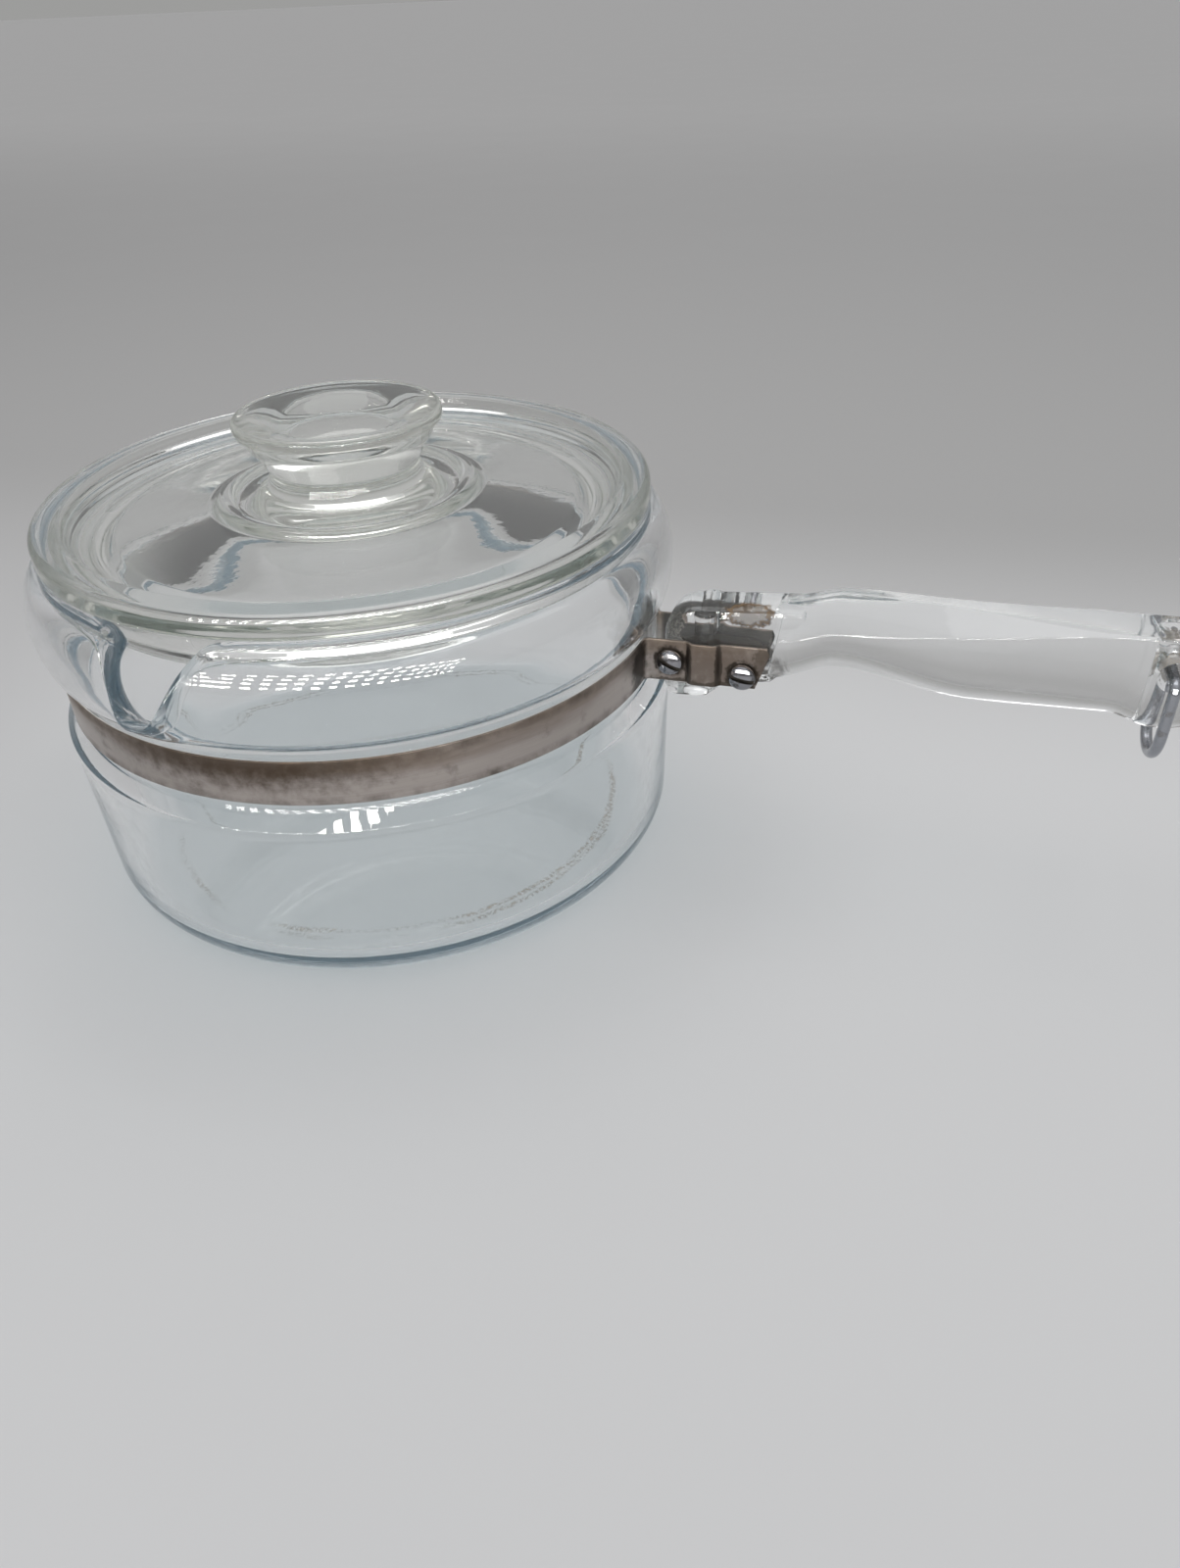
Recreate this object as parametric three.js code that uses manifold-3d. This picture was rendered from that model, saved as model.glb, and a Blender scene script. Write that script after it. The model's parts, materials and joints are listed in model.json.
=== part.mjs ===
// Glass saucepan: a lidded glass pan, a steel waist band that clamps a glass handle, and a hanging ring.
// Millimetres, +Z up. The origin is the centre of the base and +X runs along the handle.

import * as THREE from 'three';
import { mergeVertices } from 'three/addons/utils/BufferGeometryUtils.js';
import Module from 'manifold-3d';

const wasm = await Module();
wasm.setup();

// Clamp band: the waist that the bowl and the handle are fitted to
const BAND_RADIUS = 81.7; // inside of the strip
const BAND_HEIGHT = 11.9;
const BAND_THICKNESS = 0.8;
const EAR_BEND_RADIUS = 1.6; // inside radius where the strip turns out into an ear
const EAR_TAIL = 4.0; // from the rear screw's head to the ear's upper rear corner
const EAR_SLANT_LENGTH = 4.2; // how much shorter the ear is at its lower edge
const EAR_CORNER = 2.0; // bevel of the ear's upper rear corner
const EAR_EDGE = 1.25; // steel left under the rear screw's hole
const CHANNEL_SLOPE = 0.8; // run over rise of the ear's raised channel

// Bowl
const WALL = 4.0;
const FLOOR = 4.6;
const BASE_CORNER = 10.0; // outside radius between the base and the wall
const WALL_HEIGHT = 50.0; // from the base to the shoulder
const WALL_TAPER = 1.2; // the wall leans out by this much up to the shoulder
const SHOULDER_STEP = 3.9; // the shoulder stands this far outside the groove
const SHOULDER_RISE = 4.6;
const GROOVE_MARGIN = 1.8; // bare groove above and below the band
const BULGE_STEP = 1.2; // the bulge's foot stands this far outside the groove
const BULGE_STEP_RISE = 1.4;
const BULGE_SWELL = 3.5; // from the bulge's foot to its widest ring
const BULGE_LOWER = 10.5; // height below the widest ring
const BULGE_UPPER = 11.2; // height above the widest ring
const RIM_RADIUS = 80.0;
const RIM_HEIGHT = 3.2;
const RIM_ROUND = 1.6;
const SPOUT_AZIMUTH = -97.7; // degrees from the handle
const SPOUT_LIP = 9.1; // the lip lies this far above the bulge's foot
const SPOUT_SPREAD = 8.1; // arc length from the lip's middle to half way up the spout's edge
const SPOUT_SQUARENESS = 4; // power of the edge's curve: higher makes the lip flatter and its sides steeper
const SPOUT_FLARE = 6.9; // the lip is pushed out by this much

// Lid
const FLANGE_THICKNESS = 6.3;
const FLANGE_WIDTH = 7.5; // flat ring between the outer edge and the cove
const FLANGE_ROUND = 2.2;
const COVE_WIDTH = 7.6;
const COVE_DROP = 5.0; // from the flange down to the panel's edge
const PANEL_GLASS = 4.8;
const PANEL_CROWN = 2.8; // the panel rises by this much towards the bead
const PANEL_CURVE = 0.8; // share of that rise reached halfway across
const SKIRT_DEPTH = 10.5; // below the flange
const SKIRT_WIDTH = 4.6;
const BEAD_WIDTH = 5.0;
const BEAD_HEIGHT = 1.4;
const NECK_RADIUS = 19.5;
const NECK_COVE = 9.8; // from the neck's narrowest ring out to the bead
const NECK_HEIGHT = 7.5; // from the panel beside the bead to the narrowest ring
const KNOB_RADIUS = 26.8;
const KNOB_FLARE = 9.0; // height of the cone between the neck and the knob's rim
const KNOB_RIM = 4.1;
const KNOB_ROUND = 1.3;
const KNOB_TOP_WIDTH = 7.0; // sloping top between the rim and the dish
const DISH_SIDE_WIDTH = 6.0; // width of the dish's sloping side
const DISH_DEPTH = 4.8;
const DISH_EDGE_DROP = 1.6; // the dish's edge lies this far below the rim

// Handle
const BLOCK_WIDTH = 13.8;
const BLOCK_GAP = 0.6; // between the bowl's widest ring and the block's front face
const BLOCK_RISE = 10.8; // the block's rear stands this far above the band
const BLOCK_TOP_FALL = 1.7; // the block's top falls by this much towards the bowl
const BLOCK_BEVEL = 3.3;
const NOSE_RADIUS = 9.0; // upper front corner of the block
const FOOT_DROP = 6.2; // the foot hangs this far below the band
const FOOT_LENGTH = 12.0;
const FOOT_RAMP = 4.6; // length of the foot's sloping rear end
const RIB_WIDTH = 5.2;
const RIB_DEPTH = 1.3;
const GRIP_LENGTH = 105.0;
const GRIP_WIDTH = 18.6;
const GRIP_RISE = 3.6; // the grip's top stands this far above the block
const SHOULDER_GAP = 0.2; // between the ear's upper rear corner and the grip's shoulder
const GRIP_SHOULDER_SLANT = 0.18; // lean of the shoulder, run over rise
const NECK_DEPTH = 20.2; // glass under the first finger
const PALM_DEPTH = 26.4; // glass under the palm
const LOBE_DEPTH = 29.6; // glass at the ring end
const FRONT_DEPTH = 25.6; // glass at the shoulder
const FRONT_TOP_DROP = 3.4; // the top climbs by this much behind the shoulder
const FINGER_REACH = 16.0; // shoulder to the middle of the finger hollow
const PALM_REACH = 50.0; // shoulder to the start of the palm's straight underside
const LOBE_LEAD = 1.0; // the lobe is full this far ahead of the ring
const RIDGE_WIDTH = 3.8; // flat of the ridge behind the shoulder
const RIDGE_FALL = 2.6; // the top falls by this much from the finger hollow to the ring
const FLAT_START = 34.0; // shoulder to where the ridge starts to widen
const FLAT_LEAD = 10.5; // the top is flat to its full width this far ahead of the lobe
const FLAT_BORDER = 0.8; // between the flat top's edge and the side, at the ring
const END_WIDTH = 13.6; // across the handle at the ring
const END_BLUNTNESS = 2.6; // 2 makes the end elliptical, more makes it squarer
const END_FACE_SHARE = 0.3; // the flat left at the very end, as a share of the section
const EAVE_DROP_FRONT = 8.4; // from the ridge down to the widest line, at the shoulder
const EAVE_DROP_END = 1.0; // the same at the ring end, where the top is flat
const EAVE_RISE = 0.6; // the crease lies this far above the widest line's start
const EAVE_SHARE = 0.96; // half width at the crease, as a share of the widest
// Below the crease: shares of the half width and of the depth under the eave
const SIDE_CURVE = [[1, 0.12], [0.94, 0.45], [0.76, 0.75], [0.45, 0.95]];

// Hanging ring
const RING_WIRE = 2.8;
const RING_LENGTH = 22.4; // from the bar in the handle to the middle of the bottom wire
const RING_BEND_RADIUS = 2.6; // bend between the bar and the legs
const RING_PLAY = 2.6; // the hole is this much wider than the wire
const RING_MOUTH = 1.6; // the mouth is this much wider than the hole, on each side
const RING_MOUTH_DEPTH = 3.0;
const RING_HOLE_INSET = 11.5; // from the handle's end
const RING_HOLE_DROP = 12.5; // below the grip's top
const RING_BUTT = 0.5; // gap between the wire's two ends

// Screws and nuts
const SCREW_DIAMETER = 4.0;
const SCREW_HEAD_LIP = 1.55; // the head stands this far outside the shank
const SCREW_HEAD_EDGE = 0.6; // straight side of the head
const SCREW_DOME = 1.8;
const SCREW_SLOT = 1.1;
const SCREW_SLOT_DEPTH = 1.1;
const SCREW_TAIL = 1.0; // thread showing behind the nut
const SCREW_POINT = 0.5; // bevel of the screw's end
const FRONT_HEAD_REACH = 1.35; // the front screw's head reaches this far ahead of the block
const FRONT_HEAD_GAP = 1.0; // front screw's head to the channel
const REAR_HEAD_GAP = 2.5; // channel to the rear screw's head
const NUT_WALL = 1.4; // nut outside the thread
const NUT_THICKNESS = 3.2;
const NUT_CHAMFER = 0.9; // of the square's corners

// Clearances
const FIT = 0.3; // between touching pieces
const GROOVE_FIT = 0.4; // radial, band to groove
const SKIRT_FIT = 1.2; // radial, lid skirt to bowl rim
const CHANNEL_FIT = 0.6; // along the handle, rib to channel
const GLASS_HOLE_FIT = 0.5; // radial, screw to glass
const LEG_FIT = 0.6; // ring leg to the handle's side

// Facets
const ROUND_STEPS = 88; // round the bowl
const LID_STEPS = 60;
const SCREW_STEPS = 16;
const BAND_STEPS = 30; // round half of the band
const RING_STEPS = 44; // along the wire
const BULGE_STEPS = 5;
const CORNER_STEPS = 4;
const SMALL_STEPS = 2; // round the small edges
const GRIP_STEPS = 16; // along the grip
const END_STEPS = 5; // along its rounded end
const SPOUT_CROWDING = 0.76; // draws the bowl's facets together at the spout
const MERGE = 1e-4;
const QUARTER_CIRCLE = 0.5523; // handle of a cubic curve that follows a quarter circle

// Heights up the bowl
const grooveBottom = WALL_HEIGHT + SHOULDER_RISE;
const bandBottom = grooveBottom + GROOVE_MARGIN;
const bandTop = bandBottom + BAND_HEIGHT;
const bandMiddle = bandBottom + BAND_HEIGHT / 2;
const grooveTop = bandTop + GROOVE_MARGIN;
const bulgeFoot = grooveTop + BULGE_STEP_RISE;
const bulgeMiddle = bulgeFoot + BULGE_LOWER;
const bulgeTop = bulgeMiddle + BULGE_UPPER;
const rimTop = bulgeTop + RIM_HEIGHT;
const lidSeat = rimTop + FIT;

// Radii of the bowl
const grooveRadius = BAND_RADIUS - GROOVE_FIT;
const shoulderRadius = grooveRadius + SHOULDER_STEP;
const baseRadius = shoulderRadius - WALL_TAPER;
const bulgeFootRadius = grooveRadius + BULGE_STEP;
const bulgeRadius = bulgeFootRadius + BULGE_SWELL;
const rimRound = Math.min(RIM_ROUND, WALL / 2, RIM_HEIGHT / 2);
const spoutDepth = rimTop - bulgeFoot - SPOUT_LIP;

// Places along the handle
const earInside = BLOCK_WIDTH / 2 + FIT;
const earOutside = earInside + BAND_THICKNESS;
const blockFront = Math.max(bulgeRadius, shoulderRadius) + BLOCK_GAP;
const blockTop = bandTop + BLOCK_RISE;
const blockBottom = bandBottom - FOOT_DROP;
const gripTop = blockTop + GRIP_RISE;
const headRadius = SCREW_DIAMETER / 2 + SCREW_HEAD_LIP;
const earHole = SCREW_DIAMETER / 2 + FIT;
const frontScrewX = blockFront - FRONT_HEAD_REACH + headRadius;
const channelHalf = RIB_WIDTH / 2 + CHANNEL_FIT;
const channelFoot = channelHalf + RIB_DEPTH * CHANNEL_SLOPE;
const ribMiddle = frontScrewX + headRadius + FRONT_HEAD_GAP + channelFoot;
const rearScrewX = ribMiddle + channelFoot + REAR_HEAD_GAP + headRadius;
const earRear = rearScrewX + headRadius + EAR_TAIL;
const gripStart = earRear + SHOULDER_GAP;
const gripEnd = gripStart + GRIP_LENGTH;
const lobeReach = GRIP_LENGTH - RING_HOLE_INSET - LOBE_LEAD;
const flatReach = lobeReach - FLAT_LEAD;
const ringHole = (RING_WIRE + RING_PLAY) / 2;
const ringHoleX = gripEnd - RING_HOLE_INSET;
const ringHoleZ = gripTop - RING_HOLE_DROP;
const screwPlaces = [
  { name: 'front', x: frontScrewX, z: bandMiddle },
  { name: 'rear', x: rearScrewX, z: bandBottom + EAR_EDGE + earHole },
];

const point = (x, y) => new THREE.Vector2(x, y);

// Merges shared corners and drops triangles that a lathe collapses on its axis.
function closed(geometry) {
  geometry.deleteAttribute('normal');
  geometry.deleteAttribute('uv');
  const merged = mergeVertices(geometry, MERGE);
  const corners = merged.getIndex().array;
  const kept = [];
  for (let i = 0; i < corners.length; i += 3) {
    const [a, b, c] = [corners[i], corners[i + 1], corners[i + 2]];
    if (a !== b && b !== c && c !== a) kept.push(a, b, c);
  }
  merged.setIndex(kept);
  return merged;
}

function solid(geometry) {
  const merged = closed(geometry);
  return new wasm.Manifold(new wasm.Mesh({
    numProp: 3,
    vertProperties: new Float32Array(merged.getAttribute('position').array),
    triVerts: new Uint32Array(merged.getIndex().array),
  }));
}

function surface(body) {
  const mesh = body.getMesh();
  const geometry = new THREE.BufferGeometry();
  geometry.setAttribute('position', new THREE.BufferAttribute(new Float32Array(mesh.vertProperties), 3));
  geometry.setIndex(new THREE.BufferAttribute(new Uint32Array(mesh.triVerts), 1));
  return geometry;
}

function cut(geometry, ...tools) {
  return surface(tools.reduce((body, tool) => body.subtract(solid(tool)), solid(geometry)));
}

function join(geometry, ...others) {
  return surface(others.reduce((body, other) => body.add(solid(other)), solid(geometry)));
}

// Turns a profile of radius and height about +Z.
function turned(profile, steps, start = 0) {
  return new THREE.LatheGeometry(profile, steps, start).rotateX(Math.PI / 2);
}

// Extrudes an outline drawn in X and Z across the handle, centred on Y = 0.
function acrossHandle(outline, width, bevel = 0) {
  const geometry = new THREE.ExtrudeGeometry(outline, {
    depth: width - 2 * bevel,
    bevelEnabled: bevel > 0,
    bevelThickness: bevel,
    bevelSize: bevel,
    bevelOffset: -bevel,
    bevelSegments: SMALL_STEPS,
    curveSegments: CORNER_STEPS,
  });
  return geometry.rotateX(Math.PI / 2).translate(0, width / 2 - bevel, 0);
}

function holeAcross(x, z, radius, length, steps = SCREW_STEPS) {
  return new THREE.CylinderGeometry(radius, radius, length, steps).translate(x, 0, z);
}

// Points on a quarter of an ellipse, from one angle to another in quarter turns.
function quarter(cx, cy, rx, ry, from, to, count) {
  return Array.from({ length: count + 1 }, (_, i) => {
    const angle = (from + ((to - from) * i) / count) * (Math.PI / 2);
    return point(cx + rx * Math.cos(angle), cy + ry * Math.sin(angle));
  });
}

// Radius of the bowl above the bulge's foot, on its outside or moved in by the wall.
function bulgeRadiusAt(z, inset) {
  const foot = bulgeFootRadius - inset;
  const widest = bulgeRadius - inset;
  const neck = RIM_RADIUS - inset;
  if (z <= bulgeFoot) return foot;
  if (z < bulgeMiddle) return foot + (widest - foot) * Math.sqrt(1 - ((bulgeMiddle - z) / BULGE_LOWER) ** 2);
  const rise = (z - bulgeMiddle) / (BULGE_UPPER - inset / 2);
  return rise < 1 ? neck + (widest - neck) * Math.sqrt(1 - rise ** 2) : neck;
}

function bulgeCurve(inset) {
  const top = bulgeTop - inset / 2;
  const lower = quarter(0, bulgeMiddle, 1, BULGE_LOWER, -1, 0, BULGE_STEPS);
  const upper = quarter(0, bulgeMiddle, 1, top - bulgeMiddle, 0, 1, BULGE_STEPS);
  return [...lower, ...upper.slice(1)].map((p) => point(bulgeRadiusAt(p.y, inset), p.y));
}

function bowlProfile() {
  const innerCorner = BASE_CORNER - WALL / 2;
  const cornerMiddle = baseRadius - WALL - innerCorner;
  const cap = RIM_RADIUS - rimRound;
  const innerCap = RIM_RADIUS - WALL + rimRound;
  const outside = [
    point(0, 0),
    ...quarter(baseRadius - BASE_CORNER, BASE_CORNER, BASE_CORNER, BASE_CORNER, -1, 0, CORNER_STEPS),
    point(shoulderRadius, WALL_HEIGHT),
    ...quarter(grooveRadius, WALL_HEIGHT, SHOULDER_STEP, SHOULDER_RISE, 0, 1, CORNER_STEPS).slice(1),
    point(grooveRadius, grooveTop),
    ...bulgeCurve(0),
  ];
  const rim = [
    ...quarter(cap, rimTop - rimRound, rimRound, rimRound, 0, 1, SMALL_STEPS),
    ...quarter(innerCap, rimTop - rimRound, rimRound, rimRound, 1, 2, SMALL_STEPS),
  ];
  const inside = [
    ...bulgeCurve(WALL).reverse(),
    point(grooveRadius - WALL, grooveTop),
    point(grooveRadius - WALL, grooveBottom),
    point(shoulderRadius - WALL, WALL_HEIGHT),
    ...quarter(cornerMiddle, FLOOR + innerCorner, innerCorner, innerCorner, 0, -1, CORNER_STEPS),
    point(0, FLOOR),
  ];
  return [...outside, ...rim, ...inside];
}

// Height of the bowl's edge, and how far it is pushed out, at an angle away from the spout.
function spoutAt(angle) {
  const share = 1 / (1 + Math.abs((angle * bulgeRadius) / SPOUT_SPREAD) ** SPOUT_SQUARENESS);
  return { edge: rimTop - spoutDepth * share, flare: SPOUT_FLARE * share };
}

// The bowl's wall is cut off lower at the spout: its curve stays, and the rounded rim comes down with it.
function bowlGeometry() {
  const azimuth = THREE.MathUtils.degToRad(SPOUT_AZIMUTH);
  const geometry = turned(bowlProfile(), ROUND_STEPS, azimuth + Math.PI / 2);
  const places = geometry.getAttribute('position');
  const straightTop = rimTop - rimRound;
  for (let i = 0; i < places.count; i += 1) {
    const [x, y, z] = [places.getX(i), places.getY(i), places.getZ(i)];
    const radius = Math.hypot(x, y);
    const bearing = Math.atan2(y, x) - azimuth;
    const turn = Math.atan2(Math.sin(bearing), Math.cos(bearing));
    const away = turn - SPOUT_CROWDING * Math.sin(turn);
    let newRadius = radius;
    let newZ = z;
    if (z > bulgeFoot) {
      const { edge, flare } = spoutAt(away);
      const squeeze = (edge - rimRound - bulgeFoot) / (straightTop - bulgeFoot);
      newZ = z > straightTop ? edge - (rimTop - z) : bulgeFoot + (z - bulgeFoot) * squeeze;
      const inner = bulgeRadiusAt(z, WALL);
      const share = (radius - inner) / (bulgeRadiusAt(z, 0) - inner);
      const newInner = bulgeRadiusAt(newZ, WALL);
      const climb = (newZ - bulgeFoot) / (edge - bulgeFoot);
      newRadius = newInner + share * (bulgeRadiusAt(newZ, 0) - newInner) + flare * climb;
    }
    places.setXYZ(i, newRadius * Math.cos(azimuth + away), newRadius * Math.sin(azimuth + away), newZ);
  }
  return closed(geometry);
}

function lidGeometry() {
  const flangeTop = lidSeat + FLANGE_THICKNESS;
  const flangeInner = RIM_RADIUS - FLANGE_WIDTH;
  const round = Math.min(FLANGE_ROUND, FLANGE_THICKNESS / 2);
  const panelEdge = flangeInner - COVE_WIDTH;
  const panelLow = flangeTop - COVE_DROP;
  const panelHigh = panelLow + PANEL_CROWN;
  const skirtOuter = RIM_RADIUS - WALL - SKIRT_FIT;
  const skirtInner = skirtOuter - SKIRT_WIDTH;
  const skirtBottom = lidSeat - SKIRT_DEPTH;
  const half = SKIRT_WIDTH / 2;
  const beadInner = NECK_RADIUS + NECK_COVE;
  const beadRadius = beadInner + BEAD_WIDTH;
  const neckHeight = panelHigh + NECK_HEIGHT;
  const knobLow = neckHeight + KNOB_FLARE;
  const knobTop = knobLow + KNOB_RIM;
  const knobRound = Math.min(KNOB_ROUND, KNOB_RIM / 2);
  const knobCap = KNOB_RADIUS - knobRound;
  const dishRadius = knobCap - KNOB_TOP_WIDTH;
  const dishFloor = knobTop - DISH_DEPTH;
  const underEdge = panelLow - PANEL_GLASS;
  const underside = [
    point(0, panelHigh - PANEL_GLASS),
    point(beadRadius, panelHigh - PANEL_GLASS),
    point(panelEdge - PANEL_GLASS, underEdge),
    ...quarter(skirtInner + half, skirtBottom + half, half, half, 2, 4, CORNER_STEPS),
    point(skirtOuter, lidSeat),
  ];
  const flange = [
    point(RIM_RADIUS - round / 2, lidSeat),
    point(RIM_RADIUS, lidSeat + round / 2),
    ...quarter(RIM_RADIUS - round, flangeTop - round, round, round, 0, 1, CORNER_STEPS),
    ...quarter(panelEdge, flangeTop, COVE_WIDTH, COVE_DROP, 4, 3, CORNER_STEPS),
  ];
  const knob = [
    point((panelEdge + beadRadius) / 2, panelLow + PANEL_CURVE * PANEL_CROWN),
    ...quarter(beadRadius - BEAD_WIDTH / 2, panelHigh, BEAD_WIDTH / 2, BEAD_HEIGHT, 0, 2, CORNER_STEPS),
    ...quarter(beadInner, neckHeight, NECK_COVE, NECK_HEIGHT, 3, 2, CORNER_STEPS).slice(1),
    point(knobCap, knobLow),
    point(KNOB_RADIUS, knobLow + knobRound),
    ...quarter(knobCap, knobTop - knobRound, knobRound, knobRound, 0, 1, SMALL_STEPS),
    point(dishRadius, knobTop - DISH_EDGE_DROP),
    point(dishRadius - DISH_SIDE_WIDTH, dishFloor),
    point(0, dishFloor),
  ];
  return closed(turned([...underside, ...flange, ...knob], LID_STEPS));
}

// Outline of a strip of even thickness whose middle follows a path.
function stripOutline(path, thickness) {
  const side = (sign) => path.map((p, i) => {
    const before = path[Math.max(i - 1, 0)];
    const after = path[Math.min(i + 1, path.length - 1)];
    const arriving = i > 0 ? p.clone().sub(before).normalize() : after.clone().sub(p).normalize();
    const leaving = i < path.length - 1 ? after.clone().sub(p).normalize() : arriving;
    const middle = arriving.clone().add(leaving).normalize();
    const offset = (sign * thickness) / (2 * middle.dot(arriving));
    return point(p.x - middle.y * offset, p.y + middle.x * offset);
  });
  return new THREE.Shape([...side(1), ...side(-1).reverse()]);
}

// One half of the band seen from above: out along an ear to its bend, then back round the bowl.
function bandHalfPath() {
  const lane = earInside + BAND_THICKNESS / 2;
  const ring = BAND_RADIUS + BAND_THICKNESS / 2;
  const bend = EAR_BEND_RADIUS + BAND_THICKNESS / 2;
  const bendAngle = Math.asin((lane + bend) / (ring + bend));
  const bendX = (ring + bend) * Math.cos(bendAngle);
  const ear = [
    point(earRear, lane),
    point(ribMiddle + channelFoot, lane),
    point(ribMiddle + channelHalf, lane + RIB_DEPTH),
    point(ribMiddle - channelHalf, lane + RIB_DEPTH),
    point(ribMiddle - channelFoot, lane),
  ];
  const arcStart = bendAngle / (Math.PI / 2);
  const turn = quarter(bendX, lane + bend, bend, bend, 3, 2 + arcStart, CORNER_STEPS);
  const round = quarter(0, 0, ring, ring, arcStart, 2, BAND_STEPS).slice(1);
  return [...ear, ...turn, ...round];
}

function bandGeometry() {
  const half = bandHalfPath();
  const mirrored = half.slice(0, -1).reverse().map((p) => point(p.x, -p.y));
  const outline = stripOutline([...half, ...mirrored], BAND_THICKNESS);
  const strip = new THREE.ExtrudeGeometry(outline, { depth: BAND_HEIGHT, bevelEnabled: false });
  strip.translate(0, 0, bandBottom);
  const past = BAND_HEIGHT;
  const slant = new THREE.Shape([
    point(earRear - EAR_CORNER, bandTop + past),
    point(earRear - EAR_CORNER, bandTop),
    point(earRear - EAR_SLANT_LENGTH * (EAR_CORNER / BAND_HEIGHT), bandTop - EAR_CORNER),
    point(earRear - EAR_SLANT_LENGTH, bandBottom),
    point(earRear - EAR_SLANT_LENGTH, bandBottom - past),
    point(earRear + past, bandBottom - past),
    point(earRear + past, bandTop + past),
  ]);
  const span = 4 * earOutside;
  return cut(
    strip,
    acrossHandle(slant, span),
    ...screwPlaces.map(({ x, z }) => holeAcross(x, z, earHole, span)),
  );
}

// Side outline of the block that the ears hold: rounded nose, foot below, gently sloping top.
function blockOutline() {
  const rear = gripStart + FINGER_REACH / 2;
  const outline = new THREE.Shape();
  const footRear = blockFront + FOOT_LENGTH;
  outline.moveTo(blockFront + BLOCK_BEVEL, blockBottom);
  outline.lineTo(footRear, blockBottom);
  outline.lineTo(footRear + FOOT_RAMP, bandBottom);
  outline.lineTo(gripStart, bandBottom);
  outline.lineTo(rear, bandTop);
  outline.lineTo(rear, blockTop);
  const noseTop = blockTop - BLOCK_TOP_FALL;
  outline.lineTo(blockFront + NOSE_RADIUS, noseTop);
  outline.absarc(blockFront + NOSE_RADIUS, noseTop - NOSE_RADIUS, NOSE_RADIUS, Math.PI / 2, Math.PI, false);
  outline.lineTo(blockFront, blockBottom + BLOCK_BEVEL);
  return outline;
}

function ribGeometry() {
  const halfX = RIB_WIDTH / 2;
  const halfY = BLOCK_WIDTH / 2 + RIB_DEPTH;
  const chamfer = RIB_DEPTH / 2;
  const plan = new THREE.Shape([
    point(-halfX, -halfY + chamfer), point(-halfX + chamfer, -halfY),
    point(halfX - chamfer, -halfY), point(halfX, -halfY + chamfer),
    point(halfX, halfY - chamfer), point(halfX - chamfer, halfY),
    point(-halfX + chamfer, halfY), point(-halfX, halfY - chamfer),
  ]);
  const height = blockTop - BLOCK_TOP_FALL - BLOCK_BEVEL - bandBottom;
  const rib = new THREE.ExtrudeGeometry(plan, { depth: height, bevelEnabled: false });
  return rib.translate(ribMiddle, 0, bandBottom);
}

// A smooth line of height against distance from the shoulder.
function smoothLine(stations) {
  return (at) => {
    const last = stations.length - 1;
    if (at <= stations[0][0]) return stations[0][1];
    if (at >= stations[last][0]) return stations[last][1];
    const k = stations.findIndex(([place]) => place > at) - 1;
    const [a, b] = [stations[k], stations[k + 1]];
    const t = THREE.MathUtils.smoothstep(at, a[0], b[0]);
    return a[1] + (b[1] - a[1]) * t;
  };
}

const gripUnderside = smoothLine([
  [0, gripTop - FRONT_DEPTH],
  [FINGER_REACH, gripTop - NECK_DEPTH],
  [PALM_REACH, gripTop - PALM_DEPTH],
  [lobeReach - RING_HOLE_INSET, gripTop - PALM_DEPTH],
  [lobeReach, gripTop - LOBE_DEPTH],
]);
const gripRidge = smoothLine([
  [0, gripTop - FRONT_TOP_DROP],
  [FINGER_REACH, gripTop],
  [flatReach, gripTop - RIDGE_FALL],
]);
const gripHalf = smoothLine([[PALM_REACH, GRIP_WIDTH / 2], [lobeReach, END_WIDTH / 2]]);
const flatHalf = smoothLine([[FLAT_START, RIDGE_WIDTH / 2], [flatReach, END_WIDTH / 2 - FLAT_BORDER]]);
const eaveDrop = smoothLine([[FINGER_REACH, EAVE_DROP_FRONT], [flatReach, EAVE_DROP_END]]);

// One section across the grip, from the ridge down one side, under and up the other.
function gripSection(at, shrink) {
  const ridge = gripRidge(at);
  const under = gripUnderside(at);
  const half = gripHalf(at);
  const eave = ridge - eaveDrop(at);
  const depth = eave - under;
  const side = [
    [flatHalf(at), ridge],
    [half * EAVE_SHARE, eave + EAVE_RISE],
    ...SIDE_CURVE.map(([across, down]) => [half * across, eave - depth * down]),
  ];
  const middle = (ridge + under) / 2;
  const ring = [...side, [0, under], ...side.map(([y, z]) => [-y, z]).reverse()];
  const lean = GRIP_SHOULDER_SLANT * Math.max(0, 1 - at / PALM_REACH);
  return ring.map(([y, z]) => {
    const height = middle + (z - middle) * shrink;
    return new THREE.Vector3(gripStart + at + lean * (z - bandTop), y * shrink, height);
  });
}

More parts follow.
